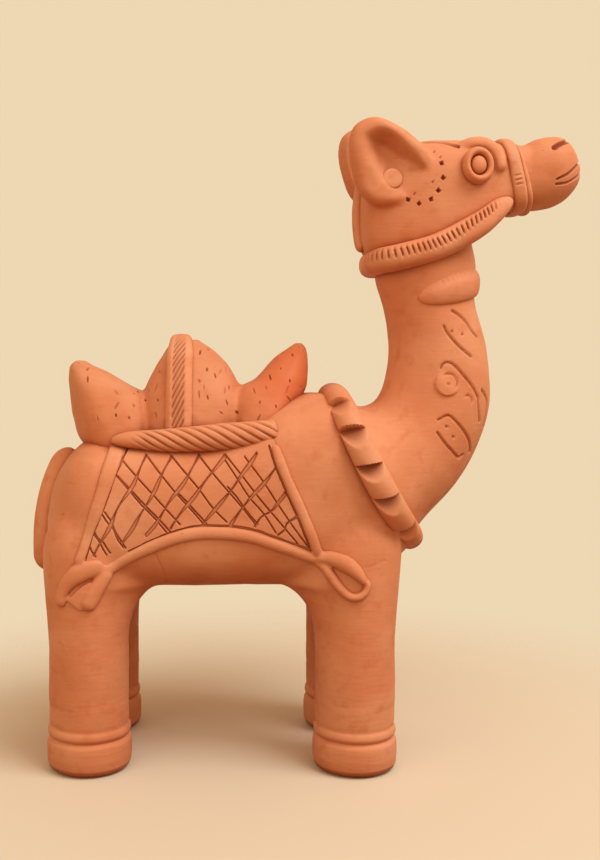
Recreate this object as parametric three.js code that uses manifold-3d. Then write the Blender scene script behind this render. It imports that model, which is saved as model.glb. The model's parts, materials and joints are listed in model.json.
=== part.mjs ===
// Terracotta camel figurine. The thrown trunk, neck and legs, the modelled head and saddle, and
// every rolled coil, strap and pellet are separate pieces of clay, luted together with slip.
// Millimetres. +X points to the muzzle, +Y to the camel's left, +Z up.
// The origin is on the floor under the middle of the figure.

import * as THREE from 'three';
import { mergeVertices } from 'three/addons/utils/BufferGeometryUtils.js';
import Module from 'manifold-3d';

const wasm = await Module();
wasm.setup();

// Clay joints
const slipGap = 0.3;          // slip line between two luted pieces
const bedding = 1.5;          // how far a laid-on piece is pressed in before it is scribed to its bed

// Trunk: a thrown barrel, closed at the rump and open where the neck is luted on
const trunkWall = 7;
const trunkHalfWidth = 38;
const bellyZ = 69.5;          // underside of the barrel: the free length of the legs
const rumpX = -103.5;         // rearmost point of the barrel
const rumpRise = 14.5;        // height of that point over the belly
const rumpDepth = 24;         // length of the rounded rear end
const trunkHeight = 59.5;     // belly to the top of the croup
const backRiseX = -42;        // where the back starts to climb to the withers
const withersX = 4;
const withersRise = 16.5;     // withers over the croup
const chestStartX = 18;       // where the belly line starts to rise
const chestX = 45;
const chestRise = 17.5;       // front end of the belly line over the belly
const chestHalfWidth = 33;
const flankPower = 3.2;       // squareness of the barrel: 2 is an ellipse
const chestPower = 2.2;

// Neck: points of its back and front outline, [x, height], and half width
const neckBore = 22;
const neckRise = 76.5;        // middle of the head over the withers
const neckRootStations = [    // heights over the withers at the back, over the chest at the front
  { back: [14.3, -0.8], front: [44.7, 1.3], halfWidth: 32 },
  { back: [22, -5.1], front: [51, 9], halfWidth: 27.5 },
  { back: [27.4, -4.9], front: [62, 21], halfWidth: 24.5 },
  { back: [31.4, -1.5], front: [71, 36.6], halfWidth: 22.4 },
  { back: [34, 5.5], front: [75.6, 54], halfWidth: 21 },
];
const neckCrownStations = [   // heights over the middle of the head
  { back: [35.4, -58], front: [74.4, -59], halfWidth: 19.6 },
  { back: [33.2, -43], front: [69.2, -40.5], halfWidth: 18.4 },
  { back: [29.6, -30], front: [69.4, -26], halfWidth: 18.4 },
  { back: [30, -16], front: [67, -13], halfWidth: 17 },
];

const neckStrokes = [         // leaves drawn on the side: share along the neck, turn from its front in degrees
  [[0.73, 73], [0.695, 56], [0.655, 43]],
  [[0.69, 89], [0.64, 80], [0.605, 60]],
  [[0.57, 99], [0.585, 90], [0.555, 71], [0.51, 51], [0.445, 41]],
  [[0.395, 92], [0.43, 83], [0.4, 61], [0.35, 36]],
  [[0.35, 88], [0.32, 64], [0.33, 46]],
];
const strokeWidth = 1.6;
const strokeDepth = 0.8;

// Legs: rolled columns with a turned foot, flared at the top where they are luted to the trunk
const rearLegX = -84.3;
const frontLegX = 19.8;
const legSpread = 47;         // right leg axis to left leg axis
const legRadius = 15.5;
const archRadius = 20.5;      // flare of the leg towards the arch under the belly
const haunchRise = 14.5;      // where the leg starts to close over the flank, over the belly
const haunchHeight = 22;      // from there to the top of the haunch
const haunchSwell = 1.8;      // how far the haunch stands out past the leg, away from the arch
const footRadius = 16.6;
const footHeight = 11.6;
const footRound = 1.8;
const grooveDepth = 1.2;
const grooveWidth = 1.4;
const beadHeight = 4.6;
const beadRadius = 16.3;

// Head: profile and half width from the nape to the noseband, heights over the middle of the head
const headStations = [
  { x: 23.6, top: 7, bottom: -17, halfWidth: 10 },
  { x: 26.5, top: 14, bottom: -22.5, halfWidth: 15 },
  { x: 35, top: 19, bottom: -25.5, halfWidth: 18.5 },
  { x: 48, top: 22, bottom: -24, halfWidth: 20 },
  { x: 60, top: 23.3, bottom: -18, halfWidth: 19.4 },
  { x: 70, top: 23.2, bottom: -10.5, halfWidth: 17.6 },
  { x: 79, top: 22, bottom: -5.4, halfWidth: 15 },
  { x: 87, top: 21.4, bottom: -2.8, halfWidth: 13 },
];
const napeX = 22.4;           // rearmost point of the head
const napeDrawnShare = 0.55;  // how far the head's rear end is drawn in
const headPower = 2.3;
const jowlPower = 3.8;        // the lower half of the head is squarer than the upper

// Muzzle: profile and half width, in x from the end of the face and in height over the middle of the head
const muzzleStations = [
  { x: 0, top: 21.8, bottom: -3, halfWidth: 13 },
  { x: 5, top: 24.2, bottom: -3.6, halfWidth: 14 },
  { x: 11.5, top: 25.2, bottom: -2.5, halfWidth: 14 },
  { x: 16.5, top: 24.2, bottom: -0.4, halfWidth: 12.6 },
  { x: 20, top: 20.6, bottom: 2.4, halfWidth: 10 },
  { x: 22.5, top: 15.8, bottom: 5.6, halfWidth: 6.4 },
  { x: 23.6, top: 12.4, bottom: 8.4, halfWidth: 3 },
];

// Ears: pinched cups standing on the sides of the head
const earX = 33.2;
const earRise = 12;           // middle of the right ear over the middle of the head
const leftEarLift = 3;        // the left ear stands a little higher than the right
const earThickness = 6.5;
const earHollow = 4.5;
const earOutline = [          // rim, from the front tip over the top and back, about the ear's middle
  [17.9, -0.8], [8.6, 9], [0.8, 14.4], [-7.8, 17.1], [-14.8, 14], [-17.1, 7],
  [-15.6, -2.7], [-11.7, -12], [-3.9, -16.3], [8.6, -12.8],
];
const bossRadius = 3.6;
const bossHeight = 2.4;
const bossRound = 0.5;
const bossDropX = 0.8;        // boss centre from the ear's centre
const bossDropZ = -5.8;

// Face
const eyeX = 66.6;
const eyeRise = 12.2;         // eye over the middle of the head
const eyeRingRadius = 3.9;
const eyeRingThick = 1.7;
const pelletRadius = 2.3;
const pelletHeight = 2.6;
const browRadius = 1.9;
const browPoints = [[-12.4, 3.4], [-7, 6.8], [-1.7, 8.6], [4.6, 7], [8.2, 2.6], [8.4, -2]];
const nosebandX = 84;
const nosebandLean = 3;       // how far the lower edge of the noseband lies ahead of its upper edge
const nosebandHalfWidth = 3.6;
const nosebandThick = 2;
const weltRadius = 1.4;

// Straps and rolls of the head and neck
const jawStrapHeight = 10;
const jawStrapThick = 6;
const jawStrapRoute = [       // x and height along the side of the head, from the pointed tip to the nape
  [82, -0.4], [76, -4.2], [66, -11.2], [51, -18.8], [37, -22.4], [28.4, -23.4],
];
const jawStrapBackDrop = 24.2;
const napeStripWidth = 7;
const napeStripProud = 2.2;
const throatRollAt = 0.8;     // place of the throat roll along the neck
const throatRollWidth = 10;
const throatRollThick = 5.6;
const throatRollProud = 2.6;  // how far the roll stands out of the neck
const throatRollSpan = 106;   // how far the roll runs round to each side, in degrees
const throatRollTilt = 12;    // how far the roll is tipped up at the front, in degrees
const necklaceRadius = 4.9;
const necklaceBow = 8;        // how far the necklace is drawn back at the shoulders
const necklaceNotches = 14;
const necklaceNotchDepth = 1.5;
const necklaceNotchShare = 0.3;

// Saddle: two peaks and a hump, pressed down on the back
const saddleHalfWidth = 27;
const saddlePower = 3.6;      // squareness of the saddle pieces seen from above
const saddleSink = 5;         // how far the saddle pieces reach down into the croup
const rearPeakOutline = [     // height over the croup, rear edge, front edge, share of the width
  [-saddleSink, -91, -64.5, 1],
  [9, -92.9, -65, 0.92],
  [18, -93.8, -68, 0.74],
  [24.2, -94, -78, 0.5],
  [27.6, -93.6, -84.6, 0.32],
  [29.6, -91.6, -88, 0.16],
];
const humpOutline = [
  [-saddleSink, -64, -26.5, 1],
  [17.5, -63.6, -25, 0.9],
  [24, -61, -27.4, 0.74],
  [30.5, -57, -32, 0.52],
  [34.5, -54.6, -36.5, 0.34],
  [37.6, -51.4, -42, 0.16],
];
const frontPeakOutline = [
  [-saddleSink, -26, -6.5, 1],
  [11, -26, -1.5, 0.92],
  [20.5, -24, 2, 0.72],
  [25.5, -16.4, 2.5, 0.56],
  [30.6, -10.4, 2.7, 0.4],
  [34.6, -5.2, 1.8, 0.24],
  [36.2, -2.6, 0, 0.12],
];
const humpStrapX = -48.8;
const humpStrapWidth = 10.4;
const humpStrapThick = 3.4;
const ropeRadius = 4.4;
const ropeRearX = -77;
const ropeFrontX = -10.5;
const ropeRearDrop = 0.6;     // rope's axis below the croup at its rear end
const ropeClimb = 2.6;        // rise of the rope from its rear end to its front end

// Saddle cloth and its trimmings on each flank
const clothThick = 2;
const clothTopDrop = 5.5;     // upper edge of the cloth, below the croup
const clothTopRearX = -75.5;
const clothTopFrontX = -8;
const clothLowRearX = -86;
const clothLowFrontX = 3.6;
const clothHang = 15.5;       // lower corners of the cloth, above the belly
const clothArch = 12.5;       // how far the lower edge rises in the middle
const latticeCuts = 8;        // cuts each way across the cloth
const latticeRising = { firstX: -70.5, step: 10, lean: -25 };
const latticeFalling = { firstX: -88.5, step: 9.4, lean: 33 };
const latticeWidth = 1.8;
const latticeDepth = 0.8;
const edgeWidth = 4.4;
const edgeThick = 3.6;
const hemWidth = 5;
const hemThick = 5;
const ribbonWidth = 4.6;
const ribbonThick = 3.8;
const rearRibbon = [          // loops from the lower corners of the cloth
  [9, -1.2], [1.5, -3.2], [-4.6, -6.7], [-6.8, -11.1], [-5, -14.9], [-1.4, -15.5], [2.4, -12.5], [8.6, -4.4],
];
const frontRibbon = [
  [0, -1], [8, -2.4], [14, -7], [15.4, -12], [12.4, -16], [7.6, -14.6], [1.6, -6],
];

// Tail: a flattened coil laid down the middle of the rump, free at its tip
const tailWidth = 11;
const tailThick = 7.4;
const tailTopAngle = 58;      // where the tail leaves the croup, on the rump's rounding, in degrees
const tailTipAngle = -52;

// Facets
const barrelSides = 28;
const legSides = 18;
const headSides = 20;
const boreSides = 12;
const coilSides = 6;
const coilSteps = 12;
const edgeSteps = 6;
const bandSteps = 18;
const strapSteps = 22;
const neckSteps = 13;
const headSteps = 10;
const trunkSteps = 8;
const turnedSides = 16;
const clothColumns = 10;
const clothRows = 6;
const strokeSteps = 5;
const cutSteps = 4;
const mitreShare = 0.4;       // least share of a mitred edge's growth
const coilEndShare = 0.5;     // girth of a coil's rounded ends
const haunchEndShare = 0.96;  // where the haunch is cut off flat, inside the trunk
const headSideShare = 0.97;   // part of the head's side that can carry a piece

// Heights, each from what carries it
const rumpZ = bellyZ + rumpRise;
const croupZ = bellyZ + trunkHeight;
const withersZ = croupZ + withersRise;
const chestZ = bellyZ + chestRise;
const archStartZ = bellyZ - archRadius + slipGap;
const haunchZ = bellyZ + haunchRise;
const haunchTopZ = haunchZ + haunchHeight;
const headZ = withersZ + neckRise;
const eyeZ = headZ + eyeRise;
const jawStrapBackZ = headZ - jawStrapBackDrop;

const { lerp, clamp, smoothstep, degToRad } = THREE.MathUtils;
const vec = (x, y, z) => new THREE.Vector3(x, y, z);

// Closed mesh through rings of equal point counts, capped at both ends or joined end to end
function loft(rings, closed = false) {
  const sides = rings[0].length;
  const positions = rings.flat().flatMap((p) => [p.x, p.y, p.z]);
  const index = [];
  const spans = closed ? rings.length : rings.length - 1;
  for (let r = 0; r < spans; r++) {
    const here = r * sides;
    const there = ((r + 1) % rings.length) * sides;
    for (let s = 0; s < sides; s++) {
      const next = (s + 1) % sides;
      index.push(here + s, here + next, there + next, here + s, there + next, there + s);
    }
  }
  if (!closed) {
    for (const [ring, turn] of [[0, 1], [rings.length - 1, 0]]) {
      const centre = rings[ring].reduce((sum, p) => sum.add(p), vec(0, 0, 0)).divideScalar(sides);
      const middle = positions.length / 3;
      positions.push(centre.x, centre.y, centre.z);
      for (let s = 0; s < sides; s++) {
        const a = ring * sides + s;
        const b = ring * sides + ((s + 1) % sides);
        index.push(middle, turn ? b : a, turn ? a : b);
      }
    }
  }
  const geometry = new THREE.BufferGeometry();
  geometry.setAttribute('position', new THREE.Float32BufferAttribute(positions, 3));
  geometry.setIndex(index);
  return geometry;
}

// Solid of a closed mesh, turned right side out
function solidOf(geometry) {
  const bare = geometry.clone();
  bare.deleteAttribute('normal');
  bare.deleteAttribute('uv');
  const merged = mergeVertices(bare, 1e-4);
  const vertProperties = new Float32Array(merged.attributes.position.array);
  const triVerts = new Uint32Array(merged.index.array);
  const a = vec(0, 0, 0);
  const b = vec(0, 0, 0);
  const c = vec(0, 0, 0);
  let volume = 0;
  for (let i = 0; i < triVerts.length; i += 3) {
    a.fromArray(vertProperties, triVerts[i] * 3);
    b.fromArray(vertProperties, triVerts[i + 1] * 3);
    c.fromArray(vertProperties, triVerts[i + 2] * 3);
    volume += a.dot(b.cross(c));
  }
  if (volume < 0) triVerts.reverse();
  return new wasm.Manifold(new wasm.Mesh({ numProp: 3, vertProperties, triVerts }));
}

function geometryOf(solid) {
  const mesh = solid.getMesh();
  const geometry = new THREE.BufferGeometry();
  geometry.setAttribute('position', new THREE.BufferAttribute(new Float32Array(mesh.vertProperties), 3));
  geometry.setIndex(new THREE.BufferAttribute(new Uint32Array(mesh.triVerts), 1));
  geometry.computeVertexNormals();
  return geometry;
}

// The same solid grown outwards by the slip gap, mitred at sharp edges
function swell(solid) {
  const { vertProperties, triVerts } = solid.getMesh();
  const corner = (v) => vec(0, 0, 0).fromArray(vertProperties, v * 3);
  const faces = Array.from({ length: vertProperties.length / 3 }, () => []);
  for (let i = 0; i < triVerts.length; i += 3) {
    const tri = [triVerts[i], triVerts[i + 1], triVerts[i + 2]];
    const points = tri.map(corner);
    const normal = new THREE.Triangle(...points).getNormal(vec(0, 0, 0));
    tri.forEach((v, k) => {
      const one = points[(k + 1) % 3].clone().sub(points[k]);
      const other = points[(k + 2) % 3].clone().sub(points[k]);
      faces[v].push({ normal, angle: one.angleTo(other) });
    });
  }
  const grown = faces.flatMap((around, v) => {
    const out = around.reduce((sum, f) => sum.addScaledVector(f.normal, f.angle), vec(0, 0, 0)).normalize();
    const mitre = Math.max(mitreShare, Math.min(...around.map((f) => f.normal.dot(out))));
    return corner(v).addScaledVector(out, slipGap / mitre).toArray();
  });
  const geometry = new THREE.BufferGeometry();
  geometry.setAttribute('position', new THREE.Float32BufferAttribute(grown, 3));
  geometry.setIndex(Array.from(triVerts));
  return solidOf(geometry);
}

const camel = new THREE.Group();
const laid = [];

// Lay a piece on what is already there: it is scribed to each earlier piece with the slip gap
function place(name, form, color, hollow = null) {
  let body = hollow ? form.subtract(hollow) : form;
  for (const earlier of laid) body = body.subtract(earlier);
  const largest = body.decompose().sort((p, q) => q.volume() - p.volume())[0];
  laid.push(swell(form));
  const material = new THREE.MeshStandardMaterial({ color, roughness: 0.85, metalness: 0 });
  const mesh = new THREE.Mesh(geometryOf(largest), material);
  mesh.name = name;
  camel.add(mesh);
}

const sides = [[-1, 'right'], [1, 'left']];
function placePair(name, build, color, hollow = () => null) {
  for (const [side, word] of sides) place(`${name}_${word}`, build(side), color, hollow(side));
}

// V-shaped cut along stations on a surface, as the solid that the tool takes away
function toolCut(stations, width, depth) {
  const count = stations.length;
  const rings = stations.map(({ point, normal }, i) => {
    const before = stations[Math.max(0, i - 1)].point;
    const after = stations[Math.min(count - 1, i + 1)].point;
    const beside = after.clone().sub(before).cross(normal).normalize();
    const corner = (sideways, rise) => {
      return point.clone().addScaledVector(beside, sideways).addScaledVector(normal, rise);
    };
    return [corner(width, depth), corner(-width, depth), corner(0, -depth)];
  });
  return solidOf(loft(rings));
}

const clay = 0xd98051;
const clayTrim = 0xdd8a5c;
const claySaddle = 0xdf7a48;

// Upright ring across X: a superellipse between a top and a bottom line
function crossRing({ x, top, bottom, halfWidth, power, lowPower = power }, count) {
  const middle = (top + bottom) / 2;
  const half = (top - bottom) / 2;
  return Array.from({ length: count }, (_, i) => {
    const angle = (i / count) * 2 * Math.PI;
    const along = Math.cos(angle);
    const up = Math.sin(angle);
    const bend = 2 / (up < 0 ? lowPower : power);
    const y = halfWidth * Math.sign(along) * Math.abs(along) ** bend;
    return vec(x, y, middle + half * Math.sign(up) * Math.abs(up) ** bend);
  });
}

// Trunk section at x, drawn in from the outside by an inset
const capX = rumpX + rumpDepth;
function trunkSection(x, inset = 0) {
  const fall = clamp((capX - x) / (rumpDepth - inset), 0, 1);
  const round = Math.sqrt(1 - fall * fall);
  const rise = (withersZ - croupZ) * smoothstep(x, backRiseX, withersX);
  const chest = Math.max(0, (x - chestStartX) / (chestX - chestStartX));
  const narrowing = smoothstep(x, withersX, chestX);
  return {
    x,
    top: rumpZ + (croupZ - inset - rumpZ) * round + rise,
    bottom: rumpZ - (rumpZ - bellyZ - inset) * round + (chestZ - bellyZ) * chest * chest,
    halfWidth: (lerp(trunkHalfWidth, chestHalfWidth, narrowing) - inset) * round,
    power: lerp(flankPower, chestPower, narrowing),
  };
}

function trunkForm(inset) {
  const capAngles = [8, 24, 40, 57, 74];
  const capStations = capAngles.map((angle) => capX - (rumpDepth - inset) * Math.cos(degToRad(angle)));
  const frontX = chestX + trunkWall;
  const bodyStations = Array.from({ length: trunkSteps + 1 }, (_, i) => lerp(capX, frontX, i / trunkSteps));
  const stations = [...capStations, ...bodyStations];
  const rings = stations.map((x) => crossRing(trunkSection(x, inset), barrelSides));
  return solidOf(loft(rings));
}

// Neck: oval rings between its back and front outlines
const outlineCurve = (points) => new THREE.CatmullRomCurve3(points.map(([x, z]) => vec(x, 0, z)));
const raised = (backZ, frontZ) => ({ back, front, halfWidth }) => {
  return { back: [back[0], backZ + back[1]], front: [front[0], frontZ + front[1]], halfWidth };
};
const neckStations = [
  ...neckRootStations.map(raised(withersZ, chestZ)),
  ...neckCrownStations.map(raised(headZ, headZ)),
];
const neckBack = outlineCurve(neckStations.map(({ back }) => back));
const neckFront = outlineCurve(neckStations.map(({ front }) => front));
const neckWidths = outlineCurve(neckStations.map(({ halfWidth }, i) => [i, halfWidth]));
function neckFrame(at) {
  const back = neckBack.getPoint(at);
  const front = neckFront.getPoint(at);
  const halfWidth = neckWidths.getPoint(at).z;
  const centre = vec((back.x + front.x) / 2, 0, (back.z + front.z) / 2);
  const forward = vec(front.x - back.x, 0, front.z - back.z);
  const halfDepth = forward.length() / 2;
  forward.normalize();
  return { centre, forward, upward: vec(-forward.z, 0, forward.x), halfDepth, halfWidth };
}

function neckRing({ centre, forward, upward }, halfDepth, halfWidth, count, shift = 0) {
  return Array.from({ length: count }, (_, i) => {
    const angle = (i / count) * 2 * Math.PI;
    return centre
      .clone()
      .addScaledVector(upward, shift)
      .addScaledVector(forward, halfDepth * Math.cos(angle))
      .add(vec(0, halfWidth * Math.sin(angle), 0));
  });
}

const neckFrames = Array.from({ length: neckSteps + 1 }, (_, i) => neckFrame(i / neckSteps));
const neckRoot = neckFrames[0];
const neckCrown = neckFrames[neckFrames.length - 1];

function neckForm() {
  const rings = neckFrames.map((frame, i) => {
    return neckRing(frame, frame.halfDepth, frame.halfWidth, headSides, i === 0 ? -bedding : 0);
  });
  return solidOf(loft(rings));
}

function neckBoreForm() {
  const radius = neckBore / 2;
  const bore = (frame, shift) => neckRing(frame, radius, radius, boreSides, shift);
  const inner = neckFrames.slice(1, -1).map((frame) => bore(frame, 0));
  return solidOf(loft([bore(neckRoot, -trunkWall), ...inner, bore(neckCrown, trunkWall)]));
}

// Strokes on both sides of the neck
function neckSpot(at, turn, side) {
  const { centre, forward, halfDepth, halfWidth } = neckFrame(at);
  const deep = Math.cos(degToRad(turn));
  const wide = side * Math.sin(degToRad(turn));
  return {
    point: centre.clone().addScaledVector(forward, halfDepth * deep).add(vec(0, halfWidth * wide, 0)),
    normal: forward.clone().multiplyScalar(deep / halfDepth).add(vec(0, wide / halfWidth, 0)).normalize(),
  };
}

function neckStrokeForms() {
  return sides.flatMap(([side]) => neckStrokes.map((stroke) => {
    const stations = outlineCurve(stroke).getPoints(strokeSteps).map(({ x, z }) => neckSpot(x, z, side));
    return toolCut(stations, strokeWidth, strokeDepth);
  }));
}

// Back of the neck at a height near its crown
function neckBackX(z) {
  const above = neckFrames.findLast(({ centre, forward, halfDepth }) => centre.z - halfDepth * forward.z < z);
  return above.centre.x - above.halfDepth * above.forward.x;
}

// Everything ahead of the plane where the neck is luted on
function aheadOfNeckRoot() {
  const reach = 2 * withersZ;
  const box = new THREE.BoxGeometry(reach, reach, reach);
  box.translate(reach / 2, 0, 0);
  box.rotateY(-Math.atan2(neckRoot.upward.z, neckRoot.upward.x));
  box.translate(neckRoot.centre.x, 0, neckRoot.centre.z);
  return solidOf(box);
}

place('trunk', trunkForm(0).subtract(aheadOfNeckRoot()), clay, trunkForm(trunkWall));

// Head: rings from the nape to the noseband
const headTops = outlineCurve(headStations.map(({ x, top }) => [x, top]));
const headBottoms = outlineCurve(headStations.map(({ x, bottom }) => [x, bottom]));
const headWidths = outlineCurve(headStations.map(({ x, halfWidth }) => [x, halfWidth]));
function headSection(x) {
  const after = headStations.findIndex((station) => station.x >= x);
  const next = after < 0 ? headStations.length - 1 : Math.max(1, after);
  const from = headStations[next - 1].x;
  const share = clamp((x - from) / (headStations[next].x - from), 0, 1);
  const at = (next - 1 + share) / (headStations.length - 1);
  return {
    x,
    top: headZ + headTops.getPoint(at).z,
    bottom: headZ + headBottoms.getPoint(at).z,
    halfWidth: headWidths.getPoint(at).z,
    power: headPower,
    lowPower: jowlPower,
  };
}

const nape = headSection(headStations[0].x);
const face = headSection(headStations[headStations.length - 1].x);
const headRings = Array.from({ length: headSteps + 1 }, (_, i) => {
  return crossRing(headSection(lerp(nape.x, face.x, i / headSteps)), headSides);
});
const napeTip = vec(napeX, 0, (nape.top + nape.bottom) / 2);
const napeRing = headRings[0].map((p) => p.clone().lerp(napeTip, napeDrawnShare).setX(napeX));
const headForm = solidOf(loft([napeRing, ...headRings]));

// Half width of the head at a side-view point
function headY(x, z) {
  const { top, bottom, halfWidth, power, lowPower } = headSection(x);
  const rise = clamp((2 * z - top - bottom) / (top - bottom), -headSideShare, headSideShare);
  const bend = rise < 0 ? lowPower : power;
  return halfWidth * (1 - Math.abs(rise) ** bend) ** (1 / bend);
}

// The neck's crown is buried in the head, so the head is laid first and the neck scribed to it
place('head', headForm, clay);
place('neck', neckForm(), clay, wasm.Manifold.union([neckBoreForm(), ...neckStrokeForms()]));

// Leg section at a height: reach away from the arch, reach towards it, and half width
function legSection(z) {
  const climb = clamp((z - archStartZ) / archRadius, 0, 1);
  const flare = archRadius * (1 - Math.sqrt(1 - climb * climb));
  const swellOut = haunchSwell * smoothstep(z, archStartZ, haunchZ);
  const closing = clamp((z - haunchZ) / (haunchTopZ - haunchZ), 0, haunchEndShare);
  const dome = Math.sqrt(1 - closing * closing);
  return {
    outer: (legRadius + swellOut) * dome,
    arch: (legRadius + flare) * dome,
    half: legRadius * dome,
  };
}

function legRing(x, y, z, { outer, arch, half }, archSide) {
  return Array.from({ length: legSides }, (_, i) => {
    const angle = (i / legSides) * 2 * Math.PI;
    const reach = Math.cos(angle) > 0 ? arch : outer;
    return vec(x + archSide * reach * Math.cos(angle), y + half * Math.sin(angle), z);
  });
}

function legForm(x, y, archSide) {
  const neckZ = footHeight + grooveWidth;
  const beadZ = neckZ + beadHeight;
  const groove = legRadius - grooveDepth;
  const foot = [
    [0, footRadius - footRound],
    [footRound, footRadius],
    [footHeight - footRound, footRadius],
    [footHeight, groove],
    [neckZ, beadRadius],
    [beadZ, beadRadius],
    [beadZ + grooveWidth, groove],
    [beadZ + 2 * grooveWidth, legRadius],
  ];
  const footRings = foot.map(([z, r]) => legRing(x, y, z, { outer: r, arch: r, half: r }, archSide));
  const flareZ = [0, 0.4, 0.62, 0.8, 0.93, 1].map((share) => archStartZ + archRadius * share);
  const haunchRingZ = [0, 0.4, 0.7, 0.9, 1].map((share) => lerp(haunchZ, haunchTopZ, share));
  const shankRings = [...flareZ, ...haunchRingZ].map((z) => legRing(x, y, z, legSection(z), archSide));
  return solidOf(loft([...footRings, ...shankRings]));
}

for (const [end, x, archSide] of [['front', frontLegX, -1], ['rear', rearLegX, 1]]) {
  placePair(`${end}_leg`, (side) => legForm(x, (side * legSpread) / 2, archSide), clay);
}

// How far the flank stands out at a side-view point: the barrel or a haunch, blended at the crease
const crease = 2;
function legY(x, z, legX, archSide) {
  const { outer, arch, half } = legSection(z);
  const away = (x - legX) * archSide;
  const t = clamp(away / (away > 0 ? arch : outer), -1, 1);
  return legSpread / 2 + half * Math.sqrt(1 - t * t);
}

function flankY(x, z) {
  const { top, bottom, halfWidth, power } = trunkSection(x);
  const t = clamp(Math.abs((2 * z - top - bottom) / (top - bottom)), 0, 1);
  const barrel = halfWidth * (1 - t ** power) ** (1 / power);
  const thigh = Math.max(legY(x, z, frontLegX, -1), legY(x, z, rearLegX, 1));
  const onThigh = z < haunchTopZ ? thigh : 0;
  return (barrel + onThigh + Math.sqrt((barrel - onThigh) ** 2 + crease ** 2)) / 2;
}

const probe = 2;
function flankPoint(x, z, side, lift) {
  const slopeX = (flankY(x + probe, z) - flankY(x - probe, z)) / (2 * probe);
  const slopeZ = (flankY(x, z + probe) - flankY(x, z - probe)) / (2 * probe);
  const normal = vec(-slopeX, 1, -slopeZ).normalize();
  const point = vec(x, flankY(x, z), z).addScaledVector(normal, lift);
  return { point: vec(point.x, side * point.y, point.z), normal: vec(normal.x, side * normal.y, normal.z) };
}

// Width of a coil's section between its flats, so that the coil keeps its stated width
const flat = Math.cos(Math.PI / coilSides);

// Coil through points that each carry the outward normal of their bed, rounded off at its ends
function coil(stations, width, thick) {
  const count = stations.length;
  const rings = stations.map(({ point, normal }, i) => {
    const before = stations[Math.max(0, i - 1)].point;
    const after = stations[Math.min(count - 1, i + 1)].point;
    const along = after.clone().sub(before).normalize();
    const across = along.clone().cross(normal).normalize();
    const out = across.clone().cross(along).normalize();
    const size = (i === 0 || i === count - 1 ? coilEndShare : 1);
    return Array.from({ length: coilSides }, (_, s) => {
      const angle = ((s + 0.5) / coilSides) * 2 * Math.PI;
      return point
        .clone()
        .addScaledVector(across, (width / 2) * size * (Math.cos(angle) / flat))
        .addScaledVector(out, (thick / 2) * size * Math.sin(angle));
    });
  });
  return solidOf(loft(rings));
}

function flankCoil(route, side, width, thick, count) {
  const points = outlineCurve(route).getPoints(count);
  const stations = points.map((p) => flankPoint(p.x, p.z, side, thick / 2 - bedding));
  return coil(stations, width, thick);
}

// Hoop around an oval: a band with a width along its axis and a thickness across it
function hoop({ centre, u, v, axis, ru, rv, bow = 0 }, width, thick, from, to, count, girth = () => 1) {
  const whole = to - from >= 360;
  const rings = Array.from({ length: whole ? count : count + 1 }, (_, i) => {
    const share = i / count;
    const angle = degToRad(lerp(from, to, share));
    const out = u.clone().multiplyScalar(Math.cos(angle) / ru).addScaledVector(v, Math.sin(angle) / rv);
    out.normalize();
    const middle = centre
      .clone()
      .addScaledVector(u, ru * Math.cos(angle))
      .addScaledVector(v, rv * Math.sin(angle))
      .addScaledVector(axis, -bow * Math.sin(angle) ** 2);
    const ends = !whole && (i === 0 || i === count) ? coilEndShare : 1;
    const size = ends * girth(share);
    return Array.from({ length: coilSides }, (_, s) => {
      const turn = ((s + 0.5) / coilSides) * 2 * Math.PI;
      return middle
        .clone()
        .addScaledVector(axis, (width / 2) * ends * (Math.cos(turn) / flat))
        .addScaledVector(out, (thick / 2) * size * Math.sin(turn));
    });
  });
  return solidOf(loft(rings, whole));
}

const across = vec(0, 1, 0);

// Muzzle: swells past the face, then rounds off to the lips
function muzzleForm() {
  const rings = muzzleStations.map(({ x, top, bottom, halfWidth }) => {
    const outline = { x: face.x + slipGap + x, top: headZ + top, bottom: headZ + bottom, halfWidth };
    return crossRing({ ...outline, power: headPower }, headSides);
  });
  return solidOf(loft(rings));
}
place('muzzle', muzzleForm(), clay);

// Ear: the back of the cup, its rim and the hollow, as rings about the ear's centre
const earHeight = (side) => headZ + earRise + (side > 0 ? leftEarLift : 0);
const earBackY = headY(earX, headZ) - bedding;
const earRimY = earBackY + earThickness;
const earFloorY = earRimY - earHollow;
function earForm(side) {
  const rim = new THREE.CatmullRomCurve3(earOutline.map(([x, z]) => vec(x, 0, z)), true);
  const outline = rim.getPoints(headSides).slice(0, headSides);
  const levels = [
    [0.35, earBackY],
    [0.8, earBackY],
    [1, lerp(earBackY, earRimY, 0.5)],
    [0.96, earRimY],
    [0.84, earRimY],
    [0.6, lerp(earFloorY, earRimY, 0.3)],
    [0.28, earFloorY],
  ];
  const rings = levels.map(([size, y]) => {
    return outline.map((p) => vec(earX + p.x * size, side * y, earHeight(side) + p.z * size));
  });
  return solidOf(loft(rings));
}
placePair('ear', earForm, clay);

// A turned piece with its axis out of the side of the head
function turned(profile, x, y, z, side) {
  const geometry = new THREE.LatheGeometry(profile.map(([r, h]) => new THREE.Vector2(r, h)), turnedSides);
  geometry.scale(1, side, 1);
  geometry.translate(x, side * y, z);
  return solidOf(geometry);
}

placePair('ear_boss', (side) => {
  const profile = [
    [0, 0],
    [bossRadius, 0],
    [bossRadius, bossHeight - bossRound],
    [bossRadius - bossRound, bossHeight],
    [0, bossHeight],
  ];
  return turned(profile, earX + bossDropX, earFloorY - slipGap, earHeight(side) + bossDropZ, side);
}, clayTrim);

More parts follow.
